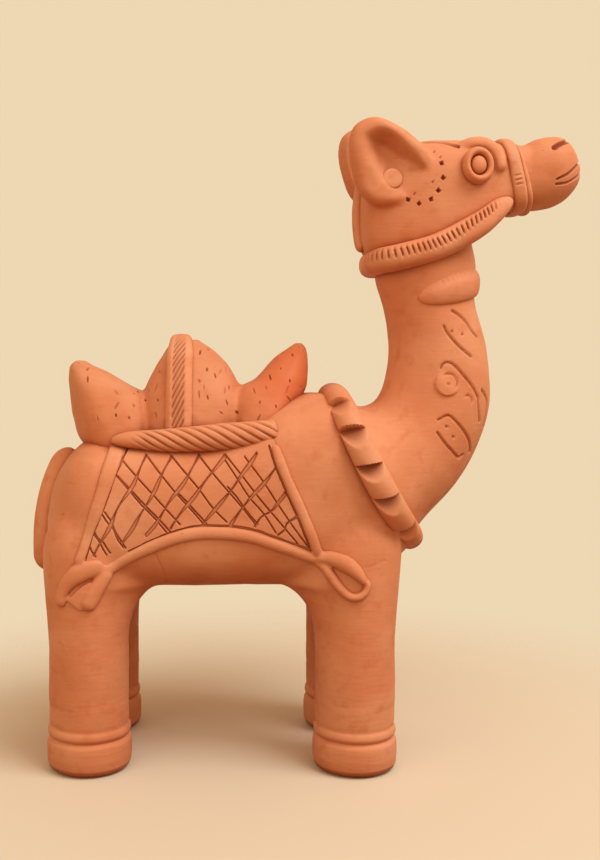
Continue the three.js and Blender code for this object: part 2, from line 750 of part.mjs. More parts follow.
const eyeY = headY(eyeX, eyeZ);
placePair('eye_ring', (side) => {
  const section = Array.from({ length: coilSides }, (_, i) => {
    const angle = (i / coilSides) * 2 * Math.PI;
    return [eyeRingRadius + eyeRingThick * Math.cos(angle), eyeRingThick * Math.sin(angle)];
  });
  return turned([...section, section[0]], eyeX, eyeY + eyeRingThick - bedding, eyeZ, side);
}, clayTrim);
placePair('eye_pellet', (side) => {
  const profile = [[0, -bedding], [pelletRadius, -bedding]];
  for (const angle of [0, 30, 60]) {
    const turn = degToRad(angle);
    profile.push([pelletRadius * Math.cos(turn), pelletHeight * Math.sin(turn)]);
  }
  return turned([...profile, [0, pelletHeight]], eyeX, eyeY, eyeZ, side);
}, clayTrim);

placePair('brow_roll', (side) => {
  const points = outlineCurve(browPoints).getPoints(coilSteps);
  const stations = points.map((p) => {
    const y = headY(eyeX + p.x, eyeZ + p.z);
    const normal = vec(0, side * y, p.z + eyeRingRadius).normalize();
    const point = vec(eyeX + p.x, side * y, eyeZ + p.z).addScaledVector(normal, browRadius - bedding);
    return { point, normal };
  });
  return coil(stations, 2 * browRadius, 2 * browRadius);
}, clayTrim);

// Noseband over the joint of head and muzzle, and the thin welt along its front edge
function faceHoop(x, lift) {
  const middle = (face.top + face.bottom) / 2;
  const half = (face.top - face.bottom) / 2;
  const v = vec(-nosebandLean / half, 0, 1).normalize();
  return {
    centre: vec(x, 0, middle),
    u: across,
    v,
    axis: vec(v.z, 0, -v.x),
    ru: face.halfWidth + lift,
    rv: half + lift,
  };
}
const band = faceHoop(nosebandX, nosebandThick - bedding);
place('noseband', hoop(band, 2 * nosebandHalfWidth, 2 * nosebandThick, 0, 360, bandSteps), clayTrim);
const welt = faceHoop(nosebandX + nosebandHalfWidth + weltRadius, weltRadius - bedding / 2);
place('noseband_welt', hoop(welt, 2 * weltRadius, 3 * weltRadius, 0, 360, bandSteps), clayTrim);

// Jaw strap: a band round the lower edge of the head, pointed at its two front ends
function jawStrapForm() {
  const lift = jawStrapThick / 2 - bedding;
  const backX = neckBackX(jawStrapBackZ) - lift;
  const left = jawStrapRoute.map(([x, z]) => vec(x, headY(x, headZ + z) + lift, headZ + z));
  const right = left.map((p) => vec(p.x, -p.y, p.z));
  const curve = new THREE.CatmullRomCurve3([...right, vec(backX, 0, jawStrapBackZ), ...left.reverse()]);
  const stations = Array.from({ length: strapSteps + 1 }, (_, i) => {
    const along = curve.getTangent(i / strapSteps);
    return { point: curve.getPoint(i / strapSteps), normal: vec(along.y, -along.x, 0).normalize() };
  });
  return coil(stations, jawStrapHeight, jawStrapThick);
}
place('jaw_strap', jawStrapForm(), clayTrim);

// Nape strip: a flat strip down the back of the head, from between the ears to the jaw strap
function napeStripForm() {
  const heights = [0.92, 0.7, 0.45, 0.2, 0.02];
  const strapTopZ = jawStrapBackZ + jawStrapHeight / 2;
  const strapBackX = neckBackX(jawStrapBackZ) - jawStrapThick / 2 + bedding;
  const stations = heights.map((share) => {
    const x = lerp(Math.min(strapBackX, nape.x), napeX, share);
    const z = lerp(strapTopZ, nape.top, share);
    return { point: vec(x - (napeStripProud - bedding) / 2, 0, z), normal: vec(-1, 0, 0) };
  });
  return coil(stations, napeStripWidth, napeStripProud + bedding);
}
place('nape_strip', napeStripForm(), clayTrim);

// Throat roll: a short roll across the front of the neck under the jaw
const throat = neckFrame(throatRollAt);
const tilt = degToRad(throatRollTilt);
const tipped = (vector) => vector.clone().applyAxisAngle(across, -tilt);
const throatHoop = {
  centre: throat.centre,
  u: tipped(throat.forward),
  v: across,
  axis: tipped(throat.upward),
  ru: throat.halfDepth + throatRollProud - throatRollThick / 2,
  rv: throat.halfWidth + throatRollProud - throatRollThick / 2,
};
const throatRoll = hoop(
  throatHoop, throatRollWidth, throatRollThick, -throatRollSpan, throatRollSpan, coilSteps,
);
place('throat_roll', throatRoll, clayTrim);

// Necklace: a notched coil round the root of the neck, over its joint with the trunk
const necklaceHoop = {
  centre: neckRoot.centre.clone().addScaledVector(neckRoot.upward, slipGap / 2),
  u: neckRoot.forward,
  v: across,
  axis: neckRoot.upward,
  ru: neckRoot.halfDepth + necklaceRadius - 2 * bedding,
  rv: flankY(neckRoot.centre.x - necklaceBow, neckRoot.centre.z) + necklaceRadius - bedding,
  bow: necklaceBow,
};
const notch = (share) => {
  const along = (share * necklaceNotches) % 1;
  return along < necklaceNotchShare ? 1 - necklaceNotchDepth / necklaceRadius : 1;
};
const necklaceGirth = 2 * necklaceRadius;
const necklace = hoop(necklaceHoop, necklaceGirth, necklaceGirth, 0, 360, 3 * necklaceNotches, notch);
place('necklace', necklace, clayTrim);

// Saddle pieces: squarish rings at a height, between a rear and a front edge
function saddleForm(outline) {
  const square = (t) => Math.sign(t) * Math.abs(t) ** (2 / saddlePower);
  const rings = outline.map(([z, rear, front, share]) => {
    return Array.from({ length: headSides }, (_, i) => {
      const angle = (i / headSides) * 2 * Math.PI;
      const x = (rear + front) / 2 + ((front - rear) / 2) * square(Math.cos(angle));
      return vec(x, saddleHalfWidth * share * square(Math.sin(angle)), croupZ + z);
    });
  });
  return solidOf(loft(rings));
}
place('saddle_hump', saddleForm(humpOutline), claySaddle);
place('saddle_rear_peak', saddleForm(rearPeakOutline), claySaddle);
place('saddle_front_peak', saddleForm(frontPeakOutline), claySaddle);

// Strap over the hump, from one rope to the other
const ropeZ = (share) => croupZ - ropeRearDrop + ropeClimb * share;
function humpStrapForm() {
  const side = humpOutline.map(([z, , , share]) => vec(humpStrapX, saddleHalfWidth * share, croupZ + z));
  const up = [vec(humpStrapX, saddleHalfWidth, ropeZ(1)), ...side.slice(1)];
  const humpHeight = humpOutline[humpOutline.length - 1][0];
  const top = vec(humpStrapX, 0, croupZ + humpHeight);
  const route = [...up, top, ...up.map((p) => vec(p.x, -p.y, p.z)).reverse()];
  const points = new THREE.CatmullRomCurve3(route).getPoints(bandSteps);
  const stations = points.map((point) => {
    const rise = (point.z - croupZ + saddleSink) / (humpHeight + saddleSink);
    const normal = vec(0, point.y / saddleHalfWidth, rise).normalize();
    return { point: point.clone().addScaledVector(normal, humpStrapThick / 2 - bedding), normal };
  });
  return coil(stations, humpStrapWidth, humpStrapThick);
}
place('hump_strap', humpStrapForm(), clayTrim);

// Rope roll along each side of the saddle
placePair('rope_roll', (side) => {
  const y = side * (saddleHalfWidth + ropeRadius - bedding);
  const stations = Array.from({ length: coilSteps + 1 }, (_, i) => {
    const share = i / coilSteps;
    return { point: vec(lerp(ropeRearX, ropeFrontX, share), y, ropeZ(share)), normal: vec(0, side, 0) };
  });
  return coil(stations, 2 * ropeRadius, 2 * ropeRadius);
}, clayTrim);

// Saddle cloth: a sheet pressed to the flank, wider and arched at its lower edge
function clothPoint(share, down) {
  const rearX = lerp(clothTopRearX, clothLowRearX, down);
  const frontX = lerp(clothTopFrontX, clothLowFrontX, down);
  const low = bellyZ + clothHang + clothArch * (1 - (2 * share - 1) ** 2);
  return [lerp(rearX, frontX, share), lerp(croupZ - clothTopDrop, low, down)];
}

// Lattice of the cloth: cuts that lean back, crossed by cuts that lean forward
function latticeForm(side) {
  const cuts = [latticeRising, latticeFalling].flatMap(({ firstX, step, lean }) => {
    return Array.from({ length: latticeCuts }, (_, i) => {
      const stations = Array.from({ length: cutSteps + 1 }, (_unused, k) => {
        const down = k / cutSteps;
        const x = firstX + i * step + lean * down;
        return flankPoint(x, lerp(croupZ - clothTopDrop, bellyZ + clothHang, down), side, clothThick);
      });
      return toolCut(stations, latticeWidth, latticeDepth);
    });
  });
  return wasm.Manifold.union(cuts);
}

placePair('saddle_cloth', (side) => {
  const drops = Array.from({ length: clothRows + 1 }, (_, i) => i / clothRows);
  const rings = Array.from({ length: clothColumns + 1 }, (_, i) => {
    const column = (lift) => drops.map((down) => {
      return flankPoint(...clothPoint(i / clothColumns, down), side, lift).point;
    });
    return [...column(clothThick), ...column(-bedding).reverse()];
  });
  return solidOf(loft(rings));
}, clayTrim, latticeForm);

// Strips down the rear and front edges of the cloth
for (const [end, share] of [['rear', 0], ['front', 1]]) {
  const route = [0.08, 0.4, 0.7, 1].map((down) => clothPoint(share, down));
  const strip = (side) => flankCoil(route, side, edgeWidth, edgeThick + clothThick, edgeSteps);
  placePair(`cloth_${end}_edge`, strip, clayTrim);
}

// Coil along the arched lower edge of the cloth
placePair('hem_coil', (side) => {
  const route = [0.04, 0.2, 0.4, 0.6, 0.8, 0.96].map((share) => {
    const [x, z] = clothPoint(share, 1);
    return [x, z - hemWidth / 2];
  });
  return flankCoil(route, side, hemWidth, hemThick, coilSteps);
}, clayTrim);

// Ribbon loops at the lower corners of the cloth
function ribbon(loop, share) {
  const [x, z] = clothPoint(share, 1);
  const route = loop.map(([dx, dz]) => [x + dx, z + dz]);
  return (side) => flankCoil(route, side, ribbonWidth, ribbonThick, coilSteps);
}
placePair('rear_ribbon', ribbon(rearRibbon, 0), clayTrim);
placePair('front_ribbon', ribbon(frontRibbon, 1), clayTrim);

// Tail down the rounding of the rump
function tailForm() {
  const stations = Array.from({ length: coilSteps + 1 }, (_, i) => {
    const angle = degToRad(lerp(tailTopAngle, tailTipAngle, i / coilSteps));
    const height = Math.sin(angle) * (angle > 0 ? croupZ - rumpZ : rumpZ - bellyZ);
    const out = vec(-Math.cos(angle) * (croupZ - rumpZ), 0, Math.sin(angle) * rumpDepth).normalize();
    const hang = angle < 0 ? vec(-1, 0, 0) : out;
    const x = angle < 0 ? rumpX : capX - rumpDepth * Math.cos(angle);
    const point = vec(x, 0, rumpZ + height).addScaledVector(hang, tailThick / 2 - bedding / 4);
    return { point, normal: hang };
  });
  return coil(stations, tailWidth, tailThick);
}
place('tail', tailForm(), clay);

export default camel;
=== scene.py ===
# %% [markdown]
# # A terracotta camel
#
# The figurine is built from soft clay, piece by piece, and fired without a glaze. The body is thrown and
# rolled, the head and the saddle are modelled, and the harness is made of rolled coils and strips that
# are stuck on with slip and cut with a tool. This script follows the potter: first the big smooth forms,
# then what is laid on them, then the cuts, and last the clay itself, the light and the floor.

# %% The frame
import json
import math

import bmesh
import bpy
import numpy as np
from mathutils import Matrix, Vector, noise
from mathutils.bvhtree import BVHTree
from mathutils.kdtree import KDTree


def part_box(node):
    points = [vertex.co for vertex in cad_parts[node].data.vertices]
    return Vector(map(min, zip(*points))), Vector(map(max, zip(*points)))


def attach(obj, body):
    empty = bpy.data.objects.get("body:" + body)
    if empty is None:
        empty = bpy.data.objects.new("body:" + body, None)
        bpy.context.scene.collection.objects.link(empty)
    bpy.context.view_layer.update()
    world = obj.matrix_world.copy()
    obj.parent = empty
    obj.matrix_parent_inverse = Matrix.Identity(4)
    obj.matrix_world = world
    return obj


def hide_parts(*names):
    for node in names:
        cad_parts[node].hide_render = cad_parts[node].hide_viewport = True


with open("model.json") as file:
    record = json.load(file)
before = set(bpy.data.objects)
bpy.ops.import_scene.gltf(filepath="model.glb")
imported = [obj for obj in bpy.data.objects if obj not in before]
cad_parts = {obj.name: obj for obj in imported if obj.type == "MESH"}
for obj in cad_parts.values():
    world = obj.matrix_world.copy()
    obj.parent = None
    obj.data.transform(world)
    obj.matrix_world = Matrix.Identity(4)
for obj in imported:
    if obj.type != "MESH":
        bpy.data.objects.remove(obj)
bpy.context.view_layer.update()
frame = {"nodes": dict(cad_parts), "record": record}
scene = bpy.context.scene
print("solids in the frame:", len(frame["nodes"]))

# %% [markdown]
# ## The camera
#
# The camel is photographed from its right side, from a little above its middle. A camera with a shifted
# frame sees it the same way: it looks along +Y, tilted down a little, and the shift moves the picture
# sideways without turning the view.

# %% Camera
CAMERA_TILT = 4.22
camera_data = bpy.data.cameras.new("camera")
camera_data.lens = 44.29
camera_data.sensor_width = 36
camera_data.shift_x = 0.086
camera = bpy.data.objects.new("camera", camera_data)
camera.location = (-0.03067, -0.430, 0.16206)
camera.rotation_euler = (math.radians(90 - CAMERA_TILT), 0, 0)
scene.collection.objects.link(camera)
scene.camera = camera

# %% [markdown]
# ## Lines and skins
#
# Nearly every form here is a row of rings: ovals along a body, or the section of a coil along its route.
# The rings could be bridged two by two. A flat grid with one row of corners for each ring is quicker: its
# corners move to their places, and merging the doubled corners closes the seam and the ends. The pieces
# are modelled in millimetres and turned into metres when they are finished.

# %% Lines
MM = 0.001
MERGE = 0.001


def line_through(points, count, closed=False):
    """Smooth line through given points."""
    points = np.asarray(points, float)
    if closed:
        padded = np.vstack([points[-1:], points, points[:2]])
        at = np.linspace(0, len(points), count, endpoint=False)
    else:
        padded = np.vstack([2 * points[0] - points[1], points, 2 * points[-1] - points[-2]])
        at = np.linspace(0, len(points) - 1, count)
    step = np.minimum(at.astype(int), len(padded) - 4)
    t = (at - step)[:, None]
    a, b, c, d = (padded[step + k] for k in range(4))
    return b + 0.5 * t * (c - a + t * (2 * a - 5 * b + 4 * c - d + t * (3 * (b - c) + d - a)))


def evenly(line, step):
    """The same line with its points a step apart."""
    run = np.concatenate([[0], np.cumsum(np.linalg.norm(np.diff(line, axis=0), axis=1))])
    at = np.linspace(0, run[-1], max(8, round(run[-1] / step) + 1))
    return np.column_stack([np.interp(at, run, column) for column in line.T])


def smoothstep(x, low, high):
    t = np.clip((x - low) / (high - low), 0, 1)
    return t * t * (3 - 2 * t)


def unit(vectors):
    return vectors / np.linalg.norm(vectors, axis=-1, keepdims=True)


def turns(count):
    """Angles once around, in even steps."""
    return np.linspace(0, 2 * np.pi, count, endpoint=False)


def squared(wave, power):
    """Sine or cosine of a ring that a power over 2 makes squarer than an ellipse."""
    return np.sign(wave) * np.abs(wave) ** (2 / power)


def spread(values, count):
    """Values in even steps, filled in to that count."""
    return np.interp(np.linspace(0, 1, count), np.linspace(0, 1, len(values)), values)


# %% Skins
def grid(places, cut):
    """Grid with its corners at those places; each keeps the depth of the tool marks there."""
    bm = bmesh.new()
    marks = bm.verts.layers.float.new("cut")
    bmesh.ops.create_grid(bm, x_segments=places.shape[1] - 1, y_segments=places.shape[0] - 1, size=1)
    for vert, place, depth in zip(bm.verts, places.reshape(-1, 3), cut.ravel()):
        vert.co = place
        vert[marks] = depth
    return bm


def close(bm):
    """Fill the holes and turn the faces outward."""
    bmesh.ops.holes_fill(bm, edges=bm.edges, sides=0)
    bmesh.ops.recalc_face_normals(bm, faces=bm.faces)


def skin(rings, cut=None, closed=False):
    """Grid rolled through rings and closed."""
    rings = np.asarray(rings)
    cut = np.zeros(rings.shape[:2]) if cut is None else cut
    rings = np.concatenate([rings, rings[:, :1]], axis=1)
    cut = np.concatenate([cut, cut[:, :1]], axis=1)
    if closed:
        rings = np.concatenate([rings, rings[:1]])
        cut = np.concatenate([cut, cut[:1]])
    bm = grid(rings, cut)
    bmesh.ops.remove_doubles(bm, verts=bm.verts, dist=MERGE)
    close(bm)
    return bm


def sliced(bm, place, normal):
    """Cut away what lies beyond a plane, and fill the cut."""
    whole = [*bm.verts, *bm.edges, *bm.faces]
    bmesh.ops.bisect_plane(bm, geom=whole, plane_co=place, plane_no=normal, clear_outer=True)
    bmesh.ops.holes_fill(bm, edges=bm.edges, sides=0)


def skirt(bm):
    """New corners that are drawn out from the open edges of a skin."""
    rim = [edge for edge in bm.edges if edge.is_boundary]
    new = bmesh.ops.extrude_edge_only(bm, edges=rim)["geom"]
    return [item for item in new if isinstance(item, bmesh.types.BMVert)]


# %% [markdown]
# ## Finished pieces
#
# A finished piece is scaled to metres, shaded smooth, tied to the frame's one body, and named as the
# stand-in of the solid that it replaces. Its clay is added at the end, when all pieces are there.

# %% Finished pieces
SMOOTH_ANGLE = math.radians(50)
pieces = {}


def finish(name, bm, slot="terracotta_trim"):
    """Object of a finished bmesh, in metres, in place of the solid of that name."""
    for edge in bm.edges:
        edge.smooth = edge.is_manifold and edge.calc_face_angle(0) < SMOOTH_ANGLE
    for face in bm.faces:
        face.smooth = True
    bmesh.ops.scale(bm, vec=(MM, MM, MM), verts=bm.verts)
    mesh = bpy.data.meshes.new(f"{name}_clay")
    bm.to_mesh(mesh)
    bm.free()
    piece = bpy.data.objects.new(mesh.name, mesh)
    scene.collection.objects.link(piece)
    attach(piece, "root")
    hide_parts(name)
    pieces[piece] = slot


# %% [markdown]
# ## Luting
#
# Two pieces of clay are luted by scoring them, wetting them with slip and drawing clay across the joint
# with a finger, which leaves a soft hollow. A boolean union would leave a hard crease. So the forms are
# put into one voxel skin, and the skin is smoothed only where two forms lie close to each other. Each
# corner of the skin remembers the form that it came from, so the pieces can be parted again along their
# joints.

# %% Distances
def applied(holder):
    """New mesh of an object with its modifiers applied."""
    graph = bpy.context.evaluated_depsgraph_get()
    return bpy.data.meshes.new_from_object(holder.evaluated_get(graph))


def places_of(mesh):
    places = np.empty(len(mesh.vertices) * 3)
    mesh.vertices.foreach_get("co", places)
    return places.reshape(-1, 3)


def distances(places, forms, reach):
    """Distance from each place to each form, no larger than the reach."""
    near = np.full((len(places), len(forms)), float(reach))
    for column, form in enumerate(forms.values()):
        tree = BVHTree.FromBMesh(form)
        corners = np.array([vert.co for vert in form.verts])
        nearby = (places > corners.min(axis=0) - reach) & (places < corners.max(axis=0) + reach)
        for row in np.flatnonzero(nearby.all(axis=1)):
            gap = tree.find_nearest(places[row], reach)[3]
            if gap is not None:
                near[row, column] = gap
    return near


# %% Luting
SPONGE_STROKES = 5


def luted(forms, voxel, blends, strokes):
    """One smooth skin over the forms, whose faces keep the number of the form they came from."""
    joined = bmesh.new()
    for form in forms.values():
        loose = bpy.data.meshes.new("loose")
        form.to_mesh(loose)
        joined.from_mesh(loose)
        bpy.data.meshes.remove(loose)
    mesh = bpy.data.meshes.new("joined")
    joined.to_mesh(mesh)
    joined.free()
    holder = bpy.data.objects.new("holder", mesh)
    scene.collection.objects.link(holder)
    remesh = holder.modifiers.new("one skin", "REMESH")
    remesh.mode = "VOXEL"
    remesh.voxel_size = voxel
    one_skin = applied(holder)
    holder.modifiers.clear()
    holder.data = one_skin
    near = distances(places_of(one_skin), forms, max(blends))
    order = np.argsort(near, axis=1)
    owner = order[:, 0]
    second = np.take_along_axis(near, order[:, 1:2], axis=1)[:, 0]
    radius = np.minimum(np.take(blends, owner), np.take(blends, order[:, 1]))
    weight = np.clip(1.2 * (1 - second / radius), 0, 1)
    joint = holder.vertex_groups.new(name="joint")
    levels = np.round(weight * 10).astype(int)
    for level in range(1, 11):
        joint.add(np.flatnonzero(levels == level).tolist(), level / 10, "REPLACE")
    finger, sponge = (holder.modifiers.new(name, "SMOOTH") for name in ("finger", "sponge"))
    finger.iterations = strokes
    finger.vertex_group = "joint"
    sponge.iterations = SPONGE_STROKES
    smoothed = applied(holder)
    bm = bmesh.new()
    bm.from_mesh(smoothed)
    layer = bm.faces.layers.int.new("owner")
    for face in bm.faces:
        face[layer] = owner[face.verts[0].index]
    bpy.data.objects.remove(holder)
    for leftover in (mesh, one_skin, smoothed):
        bpy.data.meshes.remove(leftover)
    print("luted", len(forms), "forms into", len(bm.faces), "faces")
    return bm


# %% Parting
def parted(whole, number, hearts):
    """The faces of one form, cut out of the luted skin and closed toward the heart of each joint."""
    bm = whole.copy()
    layer = bm.faces.layers.int["owner"]
    bmesh.ops.delete(bm, geom=[face for face in bm.faces if face[layer] != number], context="FACES")
    inner = skirt(bm)
    hearts = [Vector(heart) for heart in hearts]
    for heart in hearts:
        near = [vert for vert in inner if min(hearts, key=lambda h: (h - vert.co).length) == heart]
        if near:
            bmesh.ops.pointmerge(bm, verts=near, merge_co=heart)
            inner = [vert for vert in inner if vert.is_valid and (vert.co - heart).length > MERGE]
    return bm


# %% [markdown]
# ## Hand-made unevenness
#
# Nothing made by hand is quite even. A slow noise moves every corner by a fraction of a millimetre, as
# the pressure of the fingers does.

# %% Unevenness
def uneven(bm, *waves):
    """Push the corners in and out by noises, each with hills of a height and a width."""
    for height, width in waves:
        bm.normal_update()
        for vert in bm.verts:
            vert.co += vert.normal * (height * noise.noise(vert.co / width))


# %% [markdown]
# ## Tool marks
#
# A pressed stroke is a line of points: every corner within its width goes in, and a low burr stands along
# its edges. Where the skin is too coarse for a fine stroke, its faces near the stroke are divided first.
# The depth is kept on each corner, and the clay is painted darker by it: partly the dust and slip that stay
# in a cut, partly painted shade.

# %% Strokes
def line_distance(places, line):
    """Distance from flat places to a line of points."""
    best = np.full(len(places), np.inf)
    for a, b in zip(line[:-1], line[1:]):
        step = b - a
        share = np.clip((places - a) @ step / max(step @ step, 1e-9), 0, 1)
        best = np.minimum(best, np.linalg.norm(places - a - share[:, None] * step, axis=1))
    return best


def groove(gap, width, depth, burr=0):
    """Depth of a pressed groove at that distance from its middle; below zero is its burr."""
    t = gap / (width / 2)
    bed = depth * np.clip(1 - t * t, 0, 1)
    return bed - burr * depth * np.exp(-((t - 1.35) / 0.3) ** 2)


def stroke(flat, points, count, width, depth, burr=0):
    """Groove along the smooth line through some points, seen from the side."""
    return groove(line_distance(flat, line_through(points, count)), width, depth, burr)


def beat(way, step):
    """Distance to the nearest of a row of marks that lie a step apart."""
    return np.abs(way / step - np.round(way / step)) * step


def beside(lines, margin):
    """Test for a place that lies, seen from the side, in the box round one of the lines."""
    spans = [(*np.min(line, axis=0), *np.max(line, axis=0)) for line in lines]
    return lambda place: any(
        rear - margin < place.x < front + margin and low - margin < place.z < high + margin
        for rear, low, front, high in spans
    )


# %% Carving
REFININGS = 2
RELAXINGS = 8


def carve(bm, near, marks):
    """Refine the faces near the marks, then push their corners in; marks gives the depth at a place."""
    layer = bm.verts.layers.float.new("cut")
    for _ in range(REFININGS):
        busy = [face for face in bm.faces if near(face.calc_center_median())]
        edges = list({edge for face in busy for edge in face.edges})
        bmesh.ops.subdivide_edges(bm, edges=edges, cuts=1, use_grid_fill=True)
    verts = [vert for vert in bm.verts if near(vert.co)]
    for _ in range(RELAXINGS):
        bmesh.ops.smooth_vert(bm, verts=verts, factor=0.5, use_axis_x=True, use_axis_y=True, use_axis_z=True)
    bm.normal_update()
    depth = marks(np.array([vert.co for vert in verts]))
    normals = [vert.normal.copy() for vert in verts]
    for vert, normal, value in zip(verts, normals, depth):
        vert.co -= normal * value
        vert[layer] = max(vert[layer], value)


# %% [markdown]
# ## The trunk
#
# The trunk is a barrel, closed with a round rump and climbing to the withers. Its sections are squarish
# ovals between a back line and a belly line. The front is cut off square to the neck, which is luted on
# there.

# %% Trunk sections
trunk_low, trunk_high = (np.array(corner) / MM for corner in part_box("trunk"))
RUMP_X = trunk_low[0]
BELLY_Z = trunk_low[2]
TRUNK_HALF_WIDTH = trunk_high[1]
RUMP_Z = BELLY_Z + 14.5
CROUP_Z = BELLY_Z + 59.5
WITHERS_RISE = 16.5
RUMP_DEPTH = 24
CAP_X = RUMP_X + RUMP_DEPTH
CHEST_START_X = 18
CHEST_X = 45
CHEST_RISE = 17.5
CHEST_HALF_WIDTH = 33
BACK_RISE = (-42, 4)


def oval(x, top, bottom, half_width, upper, lower, count):
    """Upright ring across X; the powers make its upper and lower halves squarer than an ellipse."""
    angle = turns(count)
    power = np.where(np.sin(angle) < 0, lower, upper)
    y = half_width * squared(np.cos(angle), power)
    z = (top + bottom) / 2 + (top - bottom) / 2 * squared(np.sin(angle), power)
    return np.column_stack([np.full(count, x), y, z])


def trunk_ring(x):
    fall = np.clip((CAP_X - x) / RUMP_DEPTH, 0, 1)
    drawn = math.sqrt(1 - fall * fall)
    chest = max(0, (x - CHEST_START_X) / (CHEST_X - CHEST_START_X))
    narrowing = smoothstep(x, BACK_RISE[1], CHEST_X)
    top = RUMP_Z + (CROUP_Z - RUMP_Z) * drawn + WITHERS_RISE * smoothstep(x, *BACK_RISE)
    bottom = RUMP_Z - (RUMP_Z - BELLY_Z) * drawn + CHEST_RISE * chest * chest
    half_width = (TRUNK_HALF_WIDTH + (CHEST_HALF_WIDTH - TRUNK_HALF_WIDTH) * narrowing) * drawn
    power = 3.2 - narrowing
    return oval(x, top, bottom, half_width, power, power, 96)


# %% Trunk
rump = CAP_X - RUMP_DEPTH * np.cos(np.linspace(0, np.pi / 2, 24))
barrel = np.arange(CAP_X + 2, CHEST_X + 14, 2)
trunk_form = skin([trunk_ring(x) for x in [*rump, *barrel]])

NECK_ROOT_BACK = np.array([14.3, 0, 144.7])
NECK_ROOT_FRONT = np.array([44.7, 0, 88.3])
neck_forward = unit(NECK_ROOT_FRONT - NECK_ROOT_BACK)
neck_upward = np.array([-neck_forward[2], 0, neck_forward[0]])
neck_root = (NECK_ROOT_BACK + NECK_ROOT_FRONT) / 2
sliced(trunk_form, neck_root, neck_upward)
print("trunk from", round(RUMP_X, 1), "mm, belly at", round(BELLY_Z, 1), "mm")

# %% [markdown]
# ## The legs
#
# The legs are rolled columns. At the top they flare into the arch under the belly and close over the
# flank as a haunch. Only the columns go into the luted skin: the turned foot has grooves finer than a
# voxel, so it is shaped afterwards on a finer mesh, by setting each corner's distance from the leg's
# axis.

# %% Legs
soles = {mount["name"]: np.array(mount["pos_m"]) / MM for mount in frame["record"]["mounts"]}
LEG_RADIUS = 15.5
ARCH_START_Z = BELLY_Z - 20.5
ARCH_HEIGHT = 23
ARCH_REACH = {"front": 17, "rear": 14.5}
ARCH_WAIST = 0.85
HAUNCH_Z = BELLY_Z + 14.5
HAUNCH_TOP_Z = HAUNCH_Z + 22
HAUNCH_SWELL = 1.8
LEG_UNDERCUT = 4
SIDES = {"right": -1, "left": 1}


def leg_ring(axis, z, arch_side, arch_reach):
    climb = np.clip((z - ARCH_START_Z) / ARCH_HEIGHT, 0, 1)
    flare = arch_reach * (1 - math.sqrt(1 - climb * climb))
    swell = HAUNCH_SWELL * smoothstep(z, ARCH_START_Z, HAUNCH_Z)
    closing = np.clip((z - HAUNCH_Z) / (HAUNCH_TOP_Z - HAUNCH_Z), 0, 1)
    dome = math.sqrt(1 - closing * closing)
    angle = turns(72)
    reach = np.where(np.cos(angle) > 0, LEG_RADIUS + flare, LEG_RADIUS + swell) * dome
    x = axis[0] + arch_side * reach * np.cos(angle)
    waist = 1 - ARCH_WAIST * climb ** 2 * np.clip(np.cos(angle), 0, 1) ** 2
    y = axis[1] + LEG_RADIUS * dome * np.sin(angle) * waist
    return np.column_stack([x, y, np.full(len(angle), z)])


column = np.arange(-LEG_UNDERCUT, HAUNCH_Z, 1.5)
haunch = HAUNCH_Z + (HAUNCH_TOP_Z - HAUNCH_Z) * np.sin(np.linspace(0, np.pi / 2, 18))
leg_heights = [*column, *haunch]
body_forms = {"trunk": trunk_form}
for end, arch_side in (("front", -1), ("rear", 1)):
    for side in SIDES:
        axis = soles[f"sole_{end}_{side}"]
        rings = [leg_ring(axis, z, arch_side, ARCH_REACH[end]) for z in leg_heights]
        body_forms[f"{end}_leg_{side}"] = skin(rings)
print("legs on", len(soles), "soles")

# %% [markdown]
# ## One body
#
# The trunk and the legs are luted, made a little uneven and parted again. The feet are then cut off flat
# at the floor, refined, and turned to their profile: a rounded pad, a groove, a bead and a second groove.

# %% Body skin
BODY_VOXEL = 0.95
body = luted(body_forms, BODY_VOXEL, [5, 4, 4, 4, 4], 27)
uneven(body, (0.35, 17), (0.1, 5))
body_tree = BVHTree.FromBMesh(body)

# %% Scratches on the body
BODY_SCRATCHES = [
    ([(-57.3, 86.1), (-54.5, 79), (-53.2, 73)], 1.2, 0.25),
    ([(21.7, 81.5), (24.6, 82.2), (29.2, 83.6)], 1.6, 0.1),
    ([(-99, 107), (-98.2, 101), (-98.6, 96)], 0.8, 0.2),
]


def body_scratches(places):
    flat = places[:, [0, 2]]
    return np.max([stroke(flat, points, 20, *size) for points, *size in BODY_SCRATCHES], axis=0)


carve(body, beside([points for points, *size in BODY_SCRATCHES], 2), body_scratches)

# %% Feet
FOOT_TOP = 27
FINE_TOP = 20
FOOT_PROFILE = [
    (0, 13.6), (0.5, 14.7), (1.4, 15.7), (2.8, 16.3), (6, 16.55), (9.6, 16.5), (11.4, 16.3), (12.2, 15.9),
    (12.7, 15.3), (13.1, 15.1), (13.6, 15.4), (14.3, 15.9), (15.2, 16.1), (16.2, 15.95), (16.9, 15.6),
    (17.3, 15.3), (17.9, 15.25), (19.2, 15.4), (FOOT_TOP, 15.5),
]


def turn_foot(bm, axis):
    """Flat sole, then the foot's profile on a finer mesh."""
    sliced(bm, (0, 0, 0), (0, 0, -1))
    side = [edge for edge in bm.edges if MERGE < max(vert.co.z for vert in edge.verts) < FINE_TOP]
    bmesh.ops.subdivide_edges(bm, edges=side, cuts=2, use_grid_fill=True)
    heights, radii = np.array(FOOT_PROFILE).T
    for vert in bm.verts:
        out = Vector((vert.co.x - axis[0], vert.co.y - axis[1]))
        if vert.co.z < FOOT_TOP and out.length > LEG_RADIUS - 2:
            wobble = 0.25 * noise.noise(vert.co / 11)
            out *= (np.interp(vert.co.z, heights, radii) + wobble) / out.length
            vert.co.x = axis[0] + out.x
            vert.co.y = axis[1] + out.y


